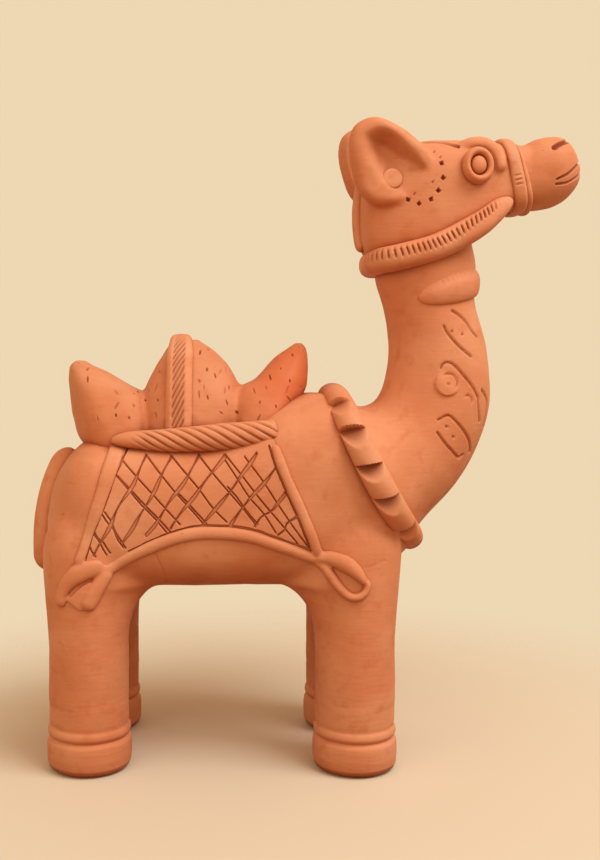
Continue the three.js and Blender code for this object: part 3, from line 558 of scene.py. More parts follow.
BODY_HEARTS = [(*(soles[sole][:2] * [1, 0.6]), HAUNCH_Z) for sole in soles]
for number, name in enumerate(body_forms):
    part = parted(body, number, BODY_HEARTS)
    if "leg" in name:
        words = name.split("_")
        turn_foot(part, soles[f"sole_{words[0]}_{words[2]}"])
    finish(name, part, "terracotta")
body.free()

# %% [markdown]
# ## The neck
#
# The neck is a bent tube, wide where it stands on the trunk and narrow under the head. Its two joints lie
# under the necklace and the jaw strap, so it needs no blending: it is one skin of ellipses between a back
# line and a front line, with its rings close together because fine leaves are drawn on it.

# %% Neck form
def outward(rings):
    """Normals of a rolled grid."""
    across = np.roll(rings, -1, axis=1) - np.roll(rings, 1, axis=1)
    along = np.gradient(rings, axis=0)
    normal = np.cross(across, along)
    normal /= np.maximum(np.linalg.norm(normal, axis=2, keepdims=True), 1e-9)
    middle = rings.mean(axis=1, keepdims=True)
    flip = np.sign(((rings - middle) * normal).sum(axis=2).mean())
    return normal * flip


NECK_STATIONS = [
    (14.3, 144.7, 44.7, 88.3, 32), (22, 140.4, 51, 96, 27.5), (27.4, 140.6, 62, 108, 24.5),
    (31.4, 144, 71, 123.6, 22.4), (34, 151, 75.6, 141, 21), (35.4, 164, 74.4, 163, 19.6),
    (33.2, 179, 69.2, 181.5, 18.4), (29.6, 192, 69.4, 196, 18.4), (30, 206, 67, 209, 17),
]
neck_rows = line_through(NECK_STATIONS, 280)
turn = turns(264)
turn = turn - 0.4 * np.sin(turn)


def neck_ring(row, turn):
    """Middle of one row, the way from there to its front, and the ways to the ring at those turns."""
    back = np.array([row[0], 0, row[1]])
    front = np.array([row[2], 0, row[3]])
    deep = (front - back) / 2
    wide = np.array([0, row[4], 0])
    return (back + front) / 2, deep, deep * np.cos(turn)[:, None] + wide * np.sin(turn)[:, None]


neck_parts = [neck_ring(row, turn) for row in neck_rows]
neck_rings = np.stack([middle + radial for middle, deep, radial in neck_parts])

# %% [markdown]
# The leaves, the disc and the dots are pressed with a blunt point, seen from the side. The neck's grid is
# fine enough for them, so they are pushed into its rings before it is skinned.

# %% Leaves
LEAF_STROKES = [
    [(57.1, 178), (60.5, 175.9), (63.3, 173.4), (65.7, 170.1), (68, 168)],
    [(53.5, 172.1), (55, 169.3), (59.3, 164.5), (64.9, 160.2)],
    [(52.3, 155.8), (53.3, 157.4), (55.4, 158), (58.4, 156.2), (62, 152.4), (65.4, 148.5), (67.9, 144.3)],
    [(67.9, 144.3), (68.3, 140), (69.2, 134.7)],
    [(51.3, 135.9), (55, 137.6), (57.2, 136.3), (60.9, 132.6), (64.1, 128.6), (65.5, 125.4), (65.8, 122.7)],
    [(50.9, 131.1), (53.7, 127.3), (57.1, 123.8), (60.3, 120.9), (62.3, 121.7)],
    [(69.6, 147.2), (72, 144.1), (72.7, 141.4), (72.4, 136.2), (71.8, 132.2)],
]
LEAF_DOTS = [(56.8, 170), (61.2, 168.9), (63.2, 145.2), (54.6, 133.2), (57.5, 129.1), (55.2, 149.6)]
NECK_RINGS = [((55.4, 150.2), 3.4), ((63.2, 143.1), 1.9)]
DISC_MIDDLE = np.array([55, 149.9])
DISC_RADIUS = 4.7

flat = neck_rings.reshape(-1, 3)[:, [0, 2]]
neck_cut = np.zeros(len(flat))
for points in LEAF_STROKES:
    drawn = stroke(flat, points, 24, 1.2, 0.8, 0.25)
    neck_cut = np.where(np.abs(drawn) > np.abs(neck_cut), drawn, neck_cut)
for dot in LEAF_DOTS:
    neck_cut = np.maximum(neck_cut, groove(np.linalg.norm(flat - dot, axis=1), 1.4, 0.8))
for middle, radius in NECK_RINGS:
    away = flat - middle
    gap = np.abs(np.linalg.norm(away, axis=1) - radius)
    upper = smoothstep(away.sum(axis=1), -1, 2)
    neck_cut = np.maximum(neck_cut, groove(gap, 1, 0.55) * upper)
away = flat - DISC_MIDDLE
raised = 1 - smoothstep(np.linalg.norm(away, axis=1), DISC_RADIUS - 0.2, DISC_RADIUS + 0.4)
raised = raised * smoothstep(-away.sum(axis=1), -5, 3)
neck_cut = neck_cut.reshape(neck_rings.shape[:2])
neck_rings = neck_rings + outward(neck_rings) * (raised.reshape(neck_cut.shape) - neck_cut)[..., None]
neck = skin(neck_rings, 0.75 * np.maximum(neck_cut, 0))
uneven(neck, (0.3, 17), (0.08, 5))
finish("neck", neck, "terracotta")
print("neck drawn with", len(LEAF_STROKES), "strokes and", len(LEAF_DOTS), "dots on each side")

# %% [markdown]
# ## The head
#
# The head is a wedge, broad at the cheeks and drawn out to the muzzle. The ears are pinched cups: a thick
# rim along the front, a steep wall down to a valley inside it, and a lobe that rises to the back rim. The
# brows are thin rolls. All of them are luted on with drawn clay, so they become one skin like the body.

# %% Head and muzzle
HEAD_Z = 222
HEAD_STATIONS = [
    (22.4, -3, -9, 2), (23.6, 7, -17, 10), (26.5, 14, -22.5, 15), (35, 20.5, -25.5, 18.5),
    (48, 23.2, -24, 20), (60, 23.2, -18, 19.4), (70, 22.7, -10.5, 17.6), (79, 22, -5.4, 15),
    (87, 21.4, -2.8, 13), (94, 20, 0, 9),
]
MUZZLE_STATIONS = [
    (81, 19, 0, 10), (87.3, 21.8, -3, 13), (92.3, 24.2, -3.6, 14), (98.8, 25.2, -2.5, 14),
    (103.4, 24.2, -0.4, 12.6), (106.7, 20.6, 2.4, 10), (109, 15.8, 5.6, 6.4), (110.1, 12.4, 8.4, 3),
]
CROWN_POWER = 3
MUZZLE_POWER = 2.3
JAW_POWER = 3.8


def wedge(stations, upper, lower):
    """Skin through upright ovals given as x, top and bottom over the head's height, half width."""
    rows = line_through(stations, 14 * len(stations))
    rings = [
        oval(x, HEAD_Z + top, HEAD_Z + low, max(half, 0.5), upper, lower, 96) for x, top, low, half in rows
    ]
    return skin(rings)


head_forms = {
    "head": wedge(HEAD_STATIONS, CROWN_POWER, JAW_POWER),
    "muzzle": wedge(MUZZLE_STATIONS, MUZZLE_POWER, MUZZLE_POWER),
}

# %% Ears
EAR_MIDDLE = np.array([33.2, 234])
EAR_OUTLINE = EAR_MIDDLE + [
    (17.9, -0.8), (8.6, 9), (0.8, 14.4), (-7.8, 17.1), (-14.8, 14), (-17.1, 7), (-15.6, -2.7), (-11.7, -12),
    (-3.9, -16.3), (8.6, -12.8),
]
EAR_FRONT_CREST = [(22.6, 249.4), (29.4, 248.9), (36, 245.2), (41.4, 239.9), (46.4, 234.4), (49, 230.6)]
EAR_BACK_CREST = [(22.6, 249.4), (19.2, 245.6), (18.2, 240), (19, 233), (22, 224)]
EAR_RIM = 23.6
EAR_TIP = 18.5
EAR_LOBE = 21.4
EAR_HOLLOW = 7.4
EAR_BACK = 11.5
EAR_ROUNDING = 3.6
EAR_LIFTS = {"right": 0, "left": 4}
EAR_RINGS = 60
EAR_BACK_RINGS = 12


def ear_face(places):
    """How far the open side of the ear stands out from the head's middle."""
    front = line_distance(places, line_through(EAR_FRONT_CREST, 40))
    back = line_distance(places, line_through(EAR_BACK_CREST, 40))
    rim = EAR_LOBE + (EAR_RIM - EAR_LOBE) * smoothstep(places[:, 1], 226, 242)
    rim = rim - (EAR_RIM - EAR_TIP) * smoothstep(places[:, 0], 42, 52)
    hollow = smoothstep(front, 1.4, 7) * (1 - smoothstep(front, 7.5, 21)) * smoothstep(back, 1.6, 11)
    return rim - EAR_HOLLOW * hollow * smoothstep(places[:, 1], 213, 232)


def ear_form(side, lift):
    outline = line_through(EAR_OUTLINE, 120, closed=True)
    rings = []
    for share in np.linspace(0, 1, EAR_RINGS):
        places = EAR_MIDDLE + share * (outline - EAR_MIDDLE)
        gap = np.linalg.norm(outline - places, axis=1)
        edge = 1 - np.clip(gap / EAR_ROUNDING, 0, 1)
        out = ear_face(places) - EAR_ROUNDING * (1 - np.sqrt(1 - edge * edge))
        rings.append(np.column_stack([places[:, 0], out * side, places[:, 1] + lift]))
    face_edge = rings[-1][:, 1]
    for bend in np.linspace(0, 1, EAR_BACK_RINGS)[1:]:
        share = 1 - 0.16 * bend ** 2
        places = EAR_MIDDLE + share * (outline - EAR_MIDDLE)
        out = face_edge * side * (1 - bend) + EAR_BACK * bend
        rings.append(np.column_stack([places[:, 0], out * side, places[:, 1] + lift]))
    return skin(rings)


for name, side in SIDES.items():
    head_forms[f"ear_{name}"] = ear_form(side, EAR_LIFTS[name])

# %% [markdown]
# ## Rolls and strips
#
# A coil is rolled on the table, laid along its route and pressed down, so it is an oval that sinks a
# little into its bed and runs out at its ends. The same tool makes flat strips (wide and low) and round
# rolls. Cuts are made on it before it is skinned, in its own measures: how far along it, and where around
# it.

# %% Rolls and strips
def swept(
    path, out, width, height, sink, around=32, power=2.2, ends=(3, 3), closed=False, marks=None,
    pressed=False, slip_and_shade=1
):
    """Coil on a path; marks gives the depth of the cuts from the way along it and the turn around it."""
    ahead_less_behind = np.roll(path, -1, axis=0) - np.roll(path, 1, axis=0)
    along = unit(ahead_less_behind if closed else np.gradient(path, axis=0))
    run = np.concatenate([[0], np.cumsum(np.linalg.norm(np.diff(path, axis=0), axis=1))])
    out = unit(out - along * (out * along).sum(axis=1, keepdims=True))
    across = np.cross(along, out)
    angle = turns(around)
    sideways = squared(np.cos(angle), power)
    upward = squared(np.sin(angle), power)
    full = np.ones(len(path))
    if not closed:
        first = 1 - np.clip(run / ends[0], 0, 1)
        last = 1 - np.clip((run[-1] - run) / ends[1], 0, 1)
        full = np.sqrt(np.maximum(0, (1 - first ** 2) * (1 - last ** 2)))
    wide, high, deep = ((size * full)[:, None, None] for size in (width / 2, height, sink))
    rise = np.where(upward[None, :, None] > 0, high, deep) * upward[None, :, None]
    rings = path[:, None] + across[:, None] * wide * sideways[None, :, None] + out[:, None] * rise
    cut = np.zeros(rings.shape[:2])
    if marks:
        cut = marks(run[:, None], angle[None, :]) * full[:, None]
        rings = rings - (out[:, None] if pressed else outward(rings)) * cut[..., None]
    # The kept depth, scaled first, paints the clay darker in the cuts: partly as slip, partly as painted
    # shade.
    return skin(rings, np.maximum(cut, 0) * slip_and_shade, closed)


# %% Paths on a skin
def land(tree, start, toward):
    """Where a ray meets a skin, and the normal there; the nearest spot if it misses."""
    spot, normal = tree.ray_cast(start, toward)[:2]
    if spot is None:
        spot, normal = tree.find_nearest(start)[:2]
    return np.array(spot), np.array(normal)


def laid(tree, starts, towards, soften=5):
    """Path on a skin under the starting points, and its normals evened out along it."""
    towards = np.broadcast_to(towards, starts.shape)
    hits = np.array([land(tree, start, toward) for start, toward in zip(starts, towards)])
    path, normals = hits[:, 0], hits[:, 1]
    for _ in range(soften):
        normals[1:-1] = (normals[:-2] + 2 * normals[1:-1] + normals[2:]) / 4
        path[1:-1] = (path[:-2] + 2 * path[1:-1] + path[2:]) / 4
    return path, unit(normals)


# %% Brows
BROW = [
    (57, 12.8, 239.6), (61.4, 13.8, 241.4), (65.5, 14.2, 242.2), (69.2, 14.4, 242), (72.4, 15, 240),
    (74.2, 15.8, 236.9), (74.9, 16.4, 233.8), (74.1, 16.6, 231),
]
BROW_WIDTHS = [3, 4.6, 5.2, 5.2, 5, 4.8, 4.6, 4.2]
for name, side in SIDES.items():
    path = evenly(line_through(np.array(BROW) * [1, side, 1], 60), 0.5)
    out = np.broadcast_to([0.0, side, 0.35], path.shape)
    thick = spread(BROW_WIDTHS, len(path))
    head_forms[f"brow_roll_{name}"] = swept(path, out, thick, thick / 2, thick / 2)

# %% Head skin
HEAD_VOXEL = 0.6
head = luted(head_forms, HEAD_VOXEL, [5, 4, 3, 3, 1.4, 1.4], 28)
uneven(head, (0.25, 12), (0.06, 4))

# %% [markdown]
# The potter then pricks a row of triangles into the cheek, opens the nostrils and the mouth with the edge
# of a tool and draws a line along the crest. These are finer than the voxels, so the skin is refined
# there first.

# %% Head marks
CHEEK_PRICKS = [(51.7, 234), (52.3, 228.3), (50.5, 223.5), (47.7, 220.2), (43.2, 218.6), (39.1, 220.1)]
CHEEK_SLITS = [(41.4, 222.3), (48.3, 226.8), (49.2, 238.8), (51.3, 236.4)]
CREST_LINE = [(46.1, 243.6), (53.1, 243.1), (58.7, 240.9)]
FACE_LINES = [
    ([(103.4, 244.6), (101.6, 243.9), (98.7, 242.5), (96.8, 241.2)], 2.3, 1.9),
    ([(97.9, 228.9), (102.1, 231), (106.8, 235), (110.5, 238)], 1.3, 0.9),
    ([(97.7, 227), (102.5, 227.9), (107.7, 231.2), (110.5, 234)], 1.2, 0.8),
    (CREST_LINE, 1.7, 0.9),
]
print("head skin ready for", len(CHEEK_PRICKS), "pricks and", len(FACE_LINES), "lines on each side")


def head_marks(places):
    point_hand = np.random.default_rng(3)
    flat = places[:, [0, 2]]
    depth = np.max([stroke(flat, points, 20, *size) for points, *size in FACE_LINES], axis=0)
    for prick in CHEEK_PRICKS:
        lean, slim, long = point_hand.uniform((-0.6, 1.1, 0.7), (0.6, 1.5, 1.1))
        c, s = math.cos(lean), math.sin(lean)
        away = (flat - prick) @ np.array([[c, -s], [s, c]])
        gap = np.abs(away[:, 0]) * slim + np.maximum(long * away[:, 1], -1.3 * away[:, 1])
        depth = np.maximum(depth, 1.3 * np.clip(1.45 - gap, 0, 1))
    for slit in CHEEK_SLITS:
        away = (flat - slit) @ np.array([[0.8, 0.6], [-0.6, 0.8]])
        depth = np.maximum(depth, 0.6 * np.clip(1 - np.hypot(away[:, 0] / 0.45, away[:, 1] / 1.1), 0, 1))
    return depth * smoothstep(np.abs(places[:, 1]), 2, 5)


near_lines = beside([points for points, *size in FACE_LINES], 1.8)
near_pricks = beside([[place] for place in CHEEK_PRICKS + CHEEK_SLITS], 2.2)
carve(head, lambda place: abs(place.y) > 2 and (near_lines(place) or near_pricks(place)), head_marks)
head_tree = BVHTree.FromBMesh(head)

# %% Head pieces
MUZZLE_HEART = (87, 0, 232)
EAR_HEARTS = [(34, -9, 230), (34, 9, 230)]
BROW_HEARTS = [(66, -6, 234), (66, 6, 234)]
for number, name in enumerate(head_forms):
    slot = "terracotta_trim" if "brow" in name else "terracotta"
    finish(name, parted(head, number, [MUZZLE_HEART, *EAR_HEARTS, *BROW_HEARTS]), slot)
head.free()

# %% [markdown]
# ## The eyes and the ear bosses
#
# A ring with a pellet in it makes the eye, and a pressed button sits in each ear. They are round, so each
# is a profile spun about the direction in which its bed faces.

# %% Spun pieces
def spun(profile, place, facing, tall=1):
    """Profile of radius and height, spun and set on a place so that it faces outward."""
    bm = bmesh.new()
    corners = [bm.verts.new((radius, 0, height)) for radius, height in profile]
    edges = [bm.edges.new(pair) for pair in zip(corners, corners[1:])]
    bmesh.ops.spin(
        bm, geom=[*corners, *edges], cent=(0, 0, 0), axis=(0, 0, 1), angle=2 * math.pi, steps=72,
        use_merge=True,
    )
    bmesh.ops.remove_doubles(bm, verts=bm.verts, dist=MERGE)
    bmesh.ops.recalc_face_normals(bm, faces=bm.faces)
    turn = Vector((0, 0, 1)).rotation_difference(Vector(facing)).to_matrix()
    bmesh.ops.rotate(bm, verts=bm.verts, cent=(0, 0, 0), matrix=turn)
    bmesh.ops.scale(bm, verts=bm.verts, vec=(1, 1, tall))
    bmesh.ops.translate(bm, verts=bm.verts, vec=place)
    return bm


def facing_at(tree, x, z, side, reach):
    """Spot on one side of a skin and its mean direction over a small square."""
    steps = (-reach, 0, reach)
    hits = [land(tree, (x + dx, side * 60, z + dz), (0, -side, 0)) for dx in steps for dz in steps]
    return hits[4][0], unit(np.mean([normal for spot, normal in hits], axis=0))


# %% Eyes and bosses
EYE = (65.4, 232.9)
EYE_TALL = 1.16
EYE_RING_RADIUS = 4.75
EYE_LIP = (1.45, 2.6)
PELLET_RADIUS = 3.15
PELLET_DOME = 2.2
EAR_BOSS = (32.9, 228.1)
BOSS_PROFILE = [(0, 1.7), (2.8, 1.7), (3.5, 1.6), (3.85, 1.3), (3.95, 0.8), (3.9, -3), (0, -3)]
bend = np.linspace(0, 2 * np.pi, 25)
ring_profile = np.column_stack([EYE_RING_RADIUS + EYE_LIP[0] * np.cos(bend), 1 + EYE_LIP[1] * np.sin(bend)])
dome = np.linspace(0, np.pi / 2, 14)
dome_profile = zip(PELLET_RADIUS * np.sin(dome), 1.7 + PELLET_DOME * np.cos(dome))
pellet_profile = [*dome_profile, (3.1, -1), (0, -1)]
for name, side in SIDES.items():
    spot, facing = facing_at(head_tree, *EYE, side, 3)
    finish(f"eye_ring_{name}", spun(ring_profile, spot, facing, EYE_TALL))
    finish(f"eye_pellet_{name}", spun(pellet_profile, spot, facing, EYE_TALL))
    spot, facing = facing_at(head_tree, EAR_BOSS[0], EAR_BOSS[1] + EAR_LIFTS[name], side, 2)
    facing = unit(facing + [0, 2 * side, 0])
    finish(f"ear_boss_{name}", spun(BOSS_PROFILE, spot, facing))

# %% [markdown]
# ## The harness on the head
#
# A strap with a welt goes round the muzzle, a thick strap follows the jaw and meets at the back of the
# neck, a strip runs down the nape and a short roll lies across the throat. The jaw strap is slit all
# along its outer face, which reads as a fringe.

# %% Noseband
NOSE_X = 81.8
NOSE_LEAN = 3.6
NOSE_MIDDLE_Z = 231
NICKS_AT = 50
NICK_STEP = 1.6
WELT_SHIFT = 3.5
nose_turn = turns(220)
low_side = 0.5 - 0.5 * np.sin(nose_turn)


def nose_hoop(shift):
    """Path round the head where the muzzle starts, its lower side ahead of its upper side."""
    level = np.zeros(len(nose_turn))
    round_way = np.column_stack([level, np.cos(nose_turn), np.sin(nose_turn)])
    ahead = NOSE_X + shift - NOSE_LEAN * np.sin(nose_turn)
    middle = np.column_stack([ahead, level, level + NOSE_MIDDLE_Z])
    return laid(head_tree, middle + 40 * round_way, -round_way)[0], round_way


def nose_nicks(run, turn):
    """A few nicks across the strap on its right side."""
    way = run - NICKS_AT
    nicked = (np.abs(way) < 3) * (np.abs(turn - np.pi / 2) < 0.5)
    return 0.5 * np.clip(1 - beat(way, NICK_STEP) / 0.4, 0, 1) * nicked


path, out = nose_hoop(0)
noseband = swept(path, out, 5 + 0.6 * low_side, 2, 1.5, 36, 2.6, closed=True, marks=nose_nicks)
finish("noseband", noseband)
path, out = nose_hoop(WELT_SHIFT)
welt = swept(path, out, 1 + 2.6 * low_side, 0.4 + 1.7 * low_side, 1.2, 24, closed=True)
finish("noseband_welt", welt)

# %% Jaw strap
JAW_ROUTE = [
    (80.2, 14.8, 221), (75, 15.8, 217.6), (66, 17.6, 210.6), (51, 19.2, 202.7), (37, 18.4, 198.7),
    (31, 14, 197.7), (29, 7.5, 197.3),
]
JAW_BACK = (28.4, 0, 197.1)
jaw_right = [(x, -y, z) for x, y, z in JAW_ROUTE]
jaw_left = [(x, y, z) for x, y, z in reversed(JAW_ROUTE)]
jaw_path = evenly(line_through([*jaw_right, JAW_BACK, *jaw_left], 260), 0.25)
jaw_out = np.cross(np.gradient(jaw_path, axis=0), (0, 0, 1))
jaw_out *= -np.sign(jaw_out[0, 1])
jaw_run = np.linspace(0, 1, len(jaw_path))
jaw_ends = smoothstep(np.minimum(jaw_run, 1 - jaw_run), 0, 0.16)
SLIT_STEP = 1.95


def jaw_slits(run, turn):
    """Slits along the middle of the outer face, leaning a little, faint at the back."""
    length = run.max()
    way = np.minimum(run, length - run)
    height = -np.cos(turn)
    lean = 0.5 - 3 * (1 - smoothstep(way, 14, 34))
    gap = beat(way + lean * height, SLIT_STEP)
    level = height + 0.25 * (1 - smoothstep(way, 14, 34))
    lower = smoothstep(level, -0.7, -0.55) * (1 - smoothstep(level, -0.05, 0.14))
    outer = np.sin(turn) > 0.1
    strength = smoothstep(way, 4, 12) * (1 - 0.8 * smoothstep(way, 58, 68))
    return groove(gap, 0.92, 0.85) * lower * outer * strength


jaw_strap = swept(
    jaw_path, jaw_out, 7.5 + 2.5 * jaw_ends, 3.2 + 1.9 * jaw_ends, 3, 56, 2.4, (9, 9), marks=jaw_slits
)
finish("jaw_strap", jaw_strap)

# %% Nape strip
heights = np.linspace(231, 202, 80)
starts = np.column_stack([np.full(80, -10.0), np.zeros(80), heights])
path, out = laid(head_tree, starts, np.array([1.0, 0, 0]), 20)
finish("nape_strip", swept(path, out, 7.2, 2.4, 1.4, 28, 3))

# %% Throat roll
THROAT_SHARE = 0.793
THROAT_SPAN = math.radians(112)
THROAT_TILT = math.tan(math.radians(14))
THROAT_HEIGHT = 2.6
row = neck_rows[round(THROAT_SHARE * (len(neck_rows) - 1))]
angle = np.linspace(-THROAT_SPAN, THROAT_SPAN, 150)
middle, deep, radial = neck_ring(row, angle)
path = middle + radial + np.array([-deep[2], 0, deep[0]]) * THROAT_TILT * np.cos(angle)[:, None]


def throat_form(run, turn):
    """The upper half runs out softly into the neck, with a few nicks on it."""
    above = np.clip(-np.cos(turn), 0, 1)
    soft = THROAT_HEIGHT * (np.sqrt(1 - above ** 2) - 1 + smoothstep(above, 0, 1)) * (np.sin(turn) > 0)
    soft = soft + 0.8 * smoothstep(above, 0.2, 1)
    way = np.abs(run - run.max() / 2)
    slant = way / 2.1 + 0.9 * above
    nick = np.clip(1 - beat(slant, 1) / 0.22, 0, 1) * np.exp(-((above - 0.5) / 0.18) ** 2)
    return soft + 0.55 * nick * (np.sin(turn) > 0) * (way > 9) * (way < 27)


throat = swept(
    path, radial, 14.4, THROAT_HEIGHT, 2.4, 64, 2, (24, 24), marks=throat_form, pressed=True, slip_and_shade=0.12
)
finish("throat_roll", throat)

# %% [markdown]
# ## The necklace
#
# A thick coil hides the joint of the neck. The potter presses a blunt blade into it at even steps, so
# that each step has a sharp lip on its upper side and a three-cornered facet below it.

# %% Necklace
HOOP_DEEP = 32
HOOP_WIDE = 38.5
HOOP_MEAN = 36
HOOP_BOW = 3
HOOP_SQUARE = 0.12
COIL_RADIUS = 4.9
COIL_WIDTH = 10.4
COIL_SHIFT = -1.3
NOTCH_ANGLES = [143, 124.5, 102, 79, 53, 27, 3]
NOTCH_LENGTH = 7.5
NOTCH_DEPTH = 4.1
NOTCH_LEAN = 1.6
NOTCH_TURN = 1
hoop = np.radians(np.linspace(-180, 180, 600, endpoint=False))[:, None]
hoop_radial = neck_forward * HOOP_DEEP * np.cos(hoop) + np.array([0, HOOP_WIDE, 0]) * np.sin(hoop)
hoop_radial = hoop_radial * (1 + HOOP_SQUARE * np.sin(2 * hoop) ** 2 * (np.cos(hoop) < 0))
hoop_path = neck_root + hoop_radial + neck_upward * (COIL_SHIFT - HOOP_BOW * np.sin(hoop) ** 2)


def necklace_notches(run, turn):
    """Flat facets: deepest under the lip, running out to a point below it."""
    degrees = np.abs(np.degrees(hoop))
    depth = np.zeros((len(hoop), turn.shape[1]))
    drop = COIL_RADIUS * (1 - np.sin(turn))
    for notch in NOTCH_ANGLES:
        below = HOOP_MEAN * np.radians(notch - degrees) + NOTCH_LEAN * np.cos(turn)
        pressure = 1 - 0.35 * smoothstep(notch, 120, 143)
        facet = pressure * NOTCH_DEPTH * (1 - below / NOTCH_LENGTH) - drop + NOTCH_TURN * np.cos(turn)
        depth = np.maximum(depth, np.maximum(facet, 0) * smoothstep(below, -0.3, 0.2))
        depth = depth - 0.5 * np.exp(-((below + 1.1) / 0.8) ** 2) * np.clip(1 - drop / 4, 0, 1)
    return depth


# The facets keep about a third of their depth for the clay's colour, so each is painted darker below its
# lip: painted shadow of the lip, with some slip.
necklace = swept(
    hoop_path, hoop_radial, COIL_WIDTH, COIL_RADIUS + 0.4, COIL_RADIUS, 64, 2.1, closed=True,
    marks=necklace_notches, pressed=True, slip_and_shade=0.32
)
finish("necklace", necklace)

# %% [markdown]
# ## The saddle
#
# The saddle is a hump between two leaning peaks. Each is a stack of plan ovals that lean and shrink as
# they rise. They are luted into one mass with soft valleys and pricked all over with a pointed stick.

# %% Saddle forms
SADDLE_HALF_WIDTH = 27
SADDLE_ROWS = {
    "saddle_rear_peak": [
        (-9, -80, -64, 0.85), (-6.5, -84.5, -60, 0.93), (-4, -87.6, -59, 0.98), (-1, -90, -59, 1),
        (3, -91.6, -59, 0.99), (9, -92.9, -59.5, 0.92), (15.5, -93.6, -62.5, 0.78), (20, -93.9, -70.5, 0.64),
        (24.2, -94, -78, 0.5), (27.6, -93.6, -84.6, 0.32), (29.8, -91.6, -88, 0.13),
    ],
    "saddle_hump": [
        (-8, -64, -26, 0.9), (-5, -67, -22, 1), (9, -66.5, -21.5, 0.96), (16, -64.6, -23.2, 0.9),
        (20.5, -62.4, -25.8, 0.82), (25.5, -59.8, -28.4, 0.69), (30.5, -57, -32, 0.52),
        (34.5, -54.6, -36.5, 0.34), (37.8, -51.4, -42, 0.12),
    ],
    "saddle_front_peak": [
        (-8, -24, -9, 0.9), (-5, -29, -6.5, 1), (9, -29, -2.4, 0.94), (16.5, -27.8, 0.8, 0.81),
        (19.4, -24.6, 1.8, 0.74), (22, -19.4, 2.2, 0.67), (25.5, -15.6, 2.5, 0.57), (30.6, -10.8, 2.7, 0.4),
        (34.6, -5.6, 1.8, 0.24), (36.6, -2.6, 0, 0.09),
    ],
}
SADDLE_POWERS = {"saddle_rear_peak": (2, 3.2), "saddle_hump": (2.6, 2.6), "saddle_front_peak": (3.2, 2)}


def plan_ring(height, rear, front, share, rear_power, front_power):
    angle = turns(96)
    power = np.where(np.cos(angle) < 0, rear_power, front_power)
    x = (rear + front) / 2 + (front - rear) / 2 * squared(np.cos(angle), power)
    y = SADDLE_HALF_WIDTH * share * squared(np.sin(angle), power)
    return np.column_stack([x, y, np.full(len(angle), CROUP_Z + height)])


saddle_forms = {}
for name, rows in SADDLE_ROWS.items():
    rings = [plan_ring(*row, *SADDLE_POWERS[name]) for row in line_through(rows, 60)]
    saddle_forms[name] = skin(rings)

# %% Saddle skin
SADDLE_VOXEL = 0.6
saddle = luted(saddle_forms, SADDLE_VOXEL, [3, 9, 9], 58)
uneven(saddle, (0.5, 11), (0.12, 4))

# %% Saddle pricks
PRICKS = 125
PRICK_FLOOR = CROUP_Z + 7
PRICK_ROOM = 3.2
PRICK_REACH = 1.9
SPARSE_X = -68
SPARSE_SHARE = 0.25
STRAP_X = -48.8
STRAP_ROOM = 7
rng = np.random.default_rng(11)


def prick_spots(bm):
    """Spots and their directions, scattered over the saddle's upper faces."""
    bm.normal_update()
    places = np.array([vert.co for vert in bm.verts])
    normals = np.array([vert.normal for vert in bm.verts])
    likely = np.where(places[:, 0] < SPARSE_X, SPARSE_SHARE, 1)
    likely = likely * (places[:, 2] > PRICK_FLOOR) * (np.abs(places[:, 0] - STRAP_X) > STRAP_ROOM)
    found = []
    for spot in rng.choice(len(places), PRICKS * 3, p=likely / likely.sum()):
        room = all(np.linalg.norm(places[spot] - place) > PRICK_ROOM for place, normal in found)
        if room and len(found) < PRICKS:
            found.append((places[spot], normals[spot]))
    return found


def saddle_pricks(places):
    """Short strokes of a pointed stick, each with its own slant, length and depth."""
    depth = np.zeros(len(places))
    for place, normal in spots:
        slant = rng.uniform(-0.7, 0.9)
        down = unit(np.cross(normal, (math.cos(slant), 0, math.sin(slant))) + 1e-6)
        away = places - place
        lengthwise = away @ down / rng.choice([0.8, 1.1, 1.5, 2.2])
        crosswise = away @ np.cross(normal, down) / rng.uniform(0.34, 0.62)
        through = away @ normal / 2
        inside = 1 - lengthwise ** 2 - crosswise ** 2 - through ** 2
        depth = np.maximum(depth, rng.uniform(0.35, 0.75) * np.clip(inside, 0, 1) ** 0.7)
    return depth


spots = prick_spots(saddle)
spot_tree = KDTree(len(spots))
for number, (place, normal) in enumerate(spots):
    spot_tree.insert(place, number)
spot_tree.balance()
carve(saddle, lambda place: spot_tree.find(place)[2] < PRICK_REACH, saddle_pricks)
print("saddle pricked", len(spots), "times")
saddle_tree = BVHTree.FromBMesh(saddle)

# %% Saddle pieces
SADDLE_HEARTS = [(-66, 0, CROUP_Z + 2), (-25.5, 0, CROUP_Z + 2)]
for number, name in enumerate(saddle_forms):
    finish(name, parted(saddle, number, SADDLE_HEARTS), "terracotta_saddle")
saddle.free()

# %% [markdown]
# ## Strap over the hump and ropes
#
# A strip lies over the hump, with a raised border on both sides and slanting cuts between them. A roll
# lies along the saddle's foot on each side. Twisting grooves make a rope of it.

# %% Hump strap
STRAP_WIDTH = 10.4
STRAP_STEP = 3.4
arc = np.linspace(math.radians(-4), math.radians(184), 360)
round_way = np.column_stack([np.zeros(360), -np.cos(arc), np.sin(arc)])
middle = np.array([STRAP_X, 0, CROUP_Z + 4])
path, out = laid(saddle_tree, middle + 60 * round_way, -round_way, 30)


def strap_cuts(run, turn):
    """Channel between two borders, with slanting cuts in it."""
    sideways = np.cos(turn)
    outer = np.sin(turn) > 0
    channel = 0.3 * (1 - smoothstep(np.abs(sideways), 0.36, 0.56))
    half = run.max() / 2
    way = np.abs(run - half)
    gap = beat(way - 10 * sideways * np.sign(run - half), STRAP_STEP)
    cut = groove(gap, 1.8, 0.5) * (1 - smoothstep(np.abs(sideways), 0.4, 0.56))
    return (channel + cut * smoothstep(way, 3, 12)) * outer


